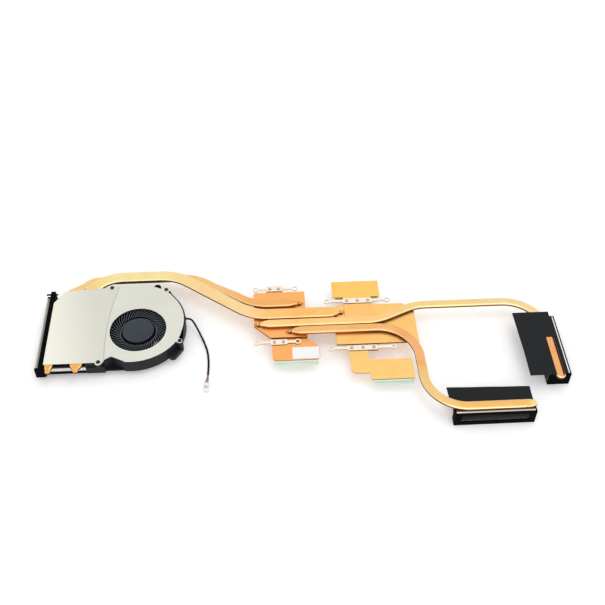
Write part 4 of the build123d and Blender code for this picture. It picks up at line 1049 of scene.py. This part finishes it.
def make_pipe_nose():
    """The rounded nose of the pipe on the front fins, squeezed shut."""
    nose = drum("front_pipe_nose", *NOSE_PLACE, 1.0, NOSE_HEIGHT, 64)
    open_mesh(nose)
    bpy.ops.mesh.select_all(action="SELECT")
    bpy.ops.transform.resize(value=(*NOSE_REACH, 1.0), center_override=metres(*NOSE_PLACE))
    close_mesh()
    round_edges(nose, NOSE_ROUND, 4)
    slice_up(nose, 0.9, (0,))
    move_points(nose, squeeze_nose)
    shade(nose, 60.0)
    settle(nose, "front_pipe", "copper", "frame")


# How the cover, the films and the flaps lie

def draw_in(place, normal):
    """The cover stops short of the housing's rim from the right round to the back."""
    reach = Vector((place.x - VOLUTE[0], place.y - VOLUTE[1], 0.0))
    turn = math.degrees(math.atan2(reach.y, reach.x))
    if abs(reach.length - COVER_R) > RIM_NEAR or not RIM_FROM < turn < RIM_TO:
        return (0.0, 0.0, 0.0)
    ease = min(1.0, (turn - RIM_FROM) / RIM_EASE, (RIM_TO - turn) / RIM_EASE)
    return reach.normalized() * -RIM_SHOWN * ease


def sag_right_flap(place, normal):
    """The right flap waves and droops a little where nothing carries it, and leans at its back."""
    held_x, width, front_y, length = 188.0, 16.0, -20.0, 36.5
    free = max(0.0, (held_x - place.x) / width)
    back = max(0.0, (place.y - front_y) / length)
    wave = 0.12 * (1.0 + math.sin(place.y * 0.21 + 0.6)) * free
    return (-1.1 * free * back, 0.5 * back, wave - 0.2 * free * free)


def sag_front_flap(place, normal):
    """The front flap waves at its free back edge, and leans at its left."""
    held_y, width, right_x, length = -66.0, 11.0, 169.5, 62.0
    free = max(0.0, (place.y - held_y) / width)
    left = (right_x - place.x) / length
    wave = 0.1 * (1.0 + math.sin(place.x * 0.24)) * free
    return (-0.8 * left * free, 1.8 * left * free, wave)


def curl_film(place, normal):
    """A release film curls down past the pad that it covers."""
    deepest = 0.18
    return (0.0, 0.0, -deepest * (1.0 + math.sin(place.x * 0.35)) * (1.0 + math.cos(place.y * 0.5)) * 0.5)


def curl_cpu_film(place, normal):
    """The film under the first plate lies further left, and its front edge further back."""
    held_y, reach, shift, draw = -19.5, 4.0, -3.0, 1.6
    front = max(0.0, (held_y - place.y) / reach)
    return (shift, draw * front, curl_film(place, normal)[2])


def lie_flat(place, normal):
    """Tape and paper follow what they are stuck on, almost flat."""
    return (0.0, 0.0, 0.02 * (1.0 + math.sin(place.x * 0.5) * math.cos(place.y * 0.6)))


# The scene, piece by piece

SHEETS = [("cpu_plate", "cpu_sheet", 0.2), ("cpu_rear_tab", "cpu_sheet", 0.12),
          ("cpu_front_spreader", "cpu_front_sheet", 0.12), ("gpu_plate", "gpu_sheet", 0.2),
          ("gpu_rear_spreader", "gpu_rear_sheet", 0.12), ("gpu_front_spreader", "gpu_front_sheet", 0)]
KEPT = {
    "left_fin_stack": "left_fins", "right_fin_stack": "fins_y", "front_fin_stack": "fins_x",
    "cpu_contact_block": "block", "gpu_contact_block": "block", "rotor_yoke": "motor_steel",
    "rotor_shaft": "motor_steel", "rotor_magnet": "magnet", "bearing_sleeve": "bearing",
    "motor_board": "board", "stator_core": "motor_steel", "stator_coils": "winding",
}

set_camera()
lay_floor()
set_light()
make_lead()

dress("fan_cover", "cover", "cover_sheet", width=0, rule=draw_in)
dress("fan_housing", "housing", "black_plastic", width=0.2)
dress("impeller", "rotor", "rotor_plastic", "rotor", width=0.08, segments=1)
make_hub_cap()
make_intake_lip()
for pipe in ("wide", "narrow", "right", "front"):
    dress(pipe + "_heat_pipe", pipe + "_pipe", "copper", width=0)
make_crimps()
make_blunt_ends()
make_pipe_nose()
for sheet, finish, width in SHEETS:
    dress(sheet, finish, "copper", width=width)
for side in ("cpu_rear", "cpu_front", "gpu_rear", "gpu_front"):
    dress(side + "_clip", "clip", "spring_steel", width=0.1)
for outlet in ("left", "right", "front"):
    dress_foam(outlet + "_exit_gasket", "foam", "foam", width=0.25, step=3.0, sink=0.12)
dress_foam("right_flap_foam", "foam", "foam", width=0.3, step=2.0, sink=0.15)
dress_film("right_flap", "flap", "film_black", 4.0, sag_right_flap)
dress_film("front_flap", "flap", "film_black", 4.0, sag_front_flap)
dress_film("right_edge_tape", "flap", "film_black", 4.0, lie_flat)
for side, curl in (("cpu_front", curl_cpu_film), ("gpu_front", curl_film), ("gpu_rear", curl_film)):
    dress_foam(side + "_pad", "pad", "thermal_pad", width=0.35, step=2.5, sink=0.1)
    dress_film(side + "_film", "green_film", "film_green", 2.5, curl)
dress_film("blank_label", "label", "paper", 3.0, lie_flat)
make_screws()
make_rivets()

# Solids that keep their own mesh
for name, finish in KEPT.items():
    nodes[name].data.materials.clear()
    nodes[name].data.materials.append(FINISHES[finish])
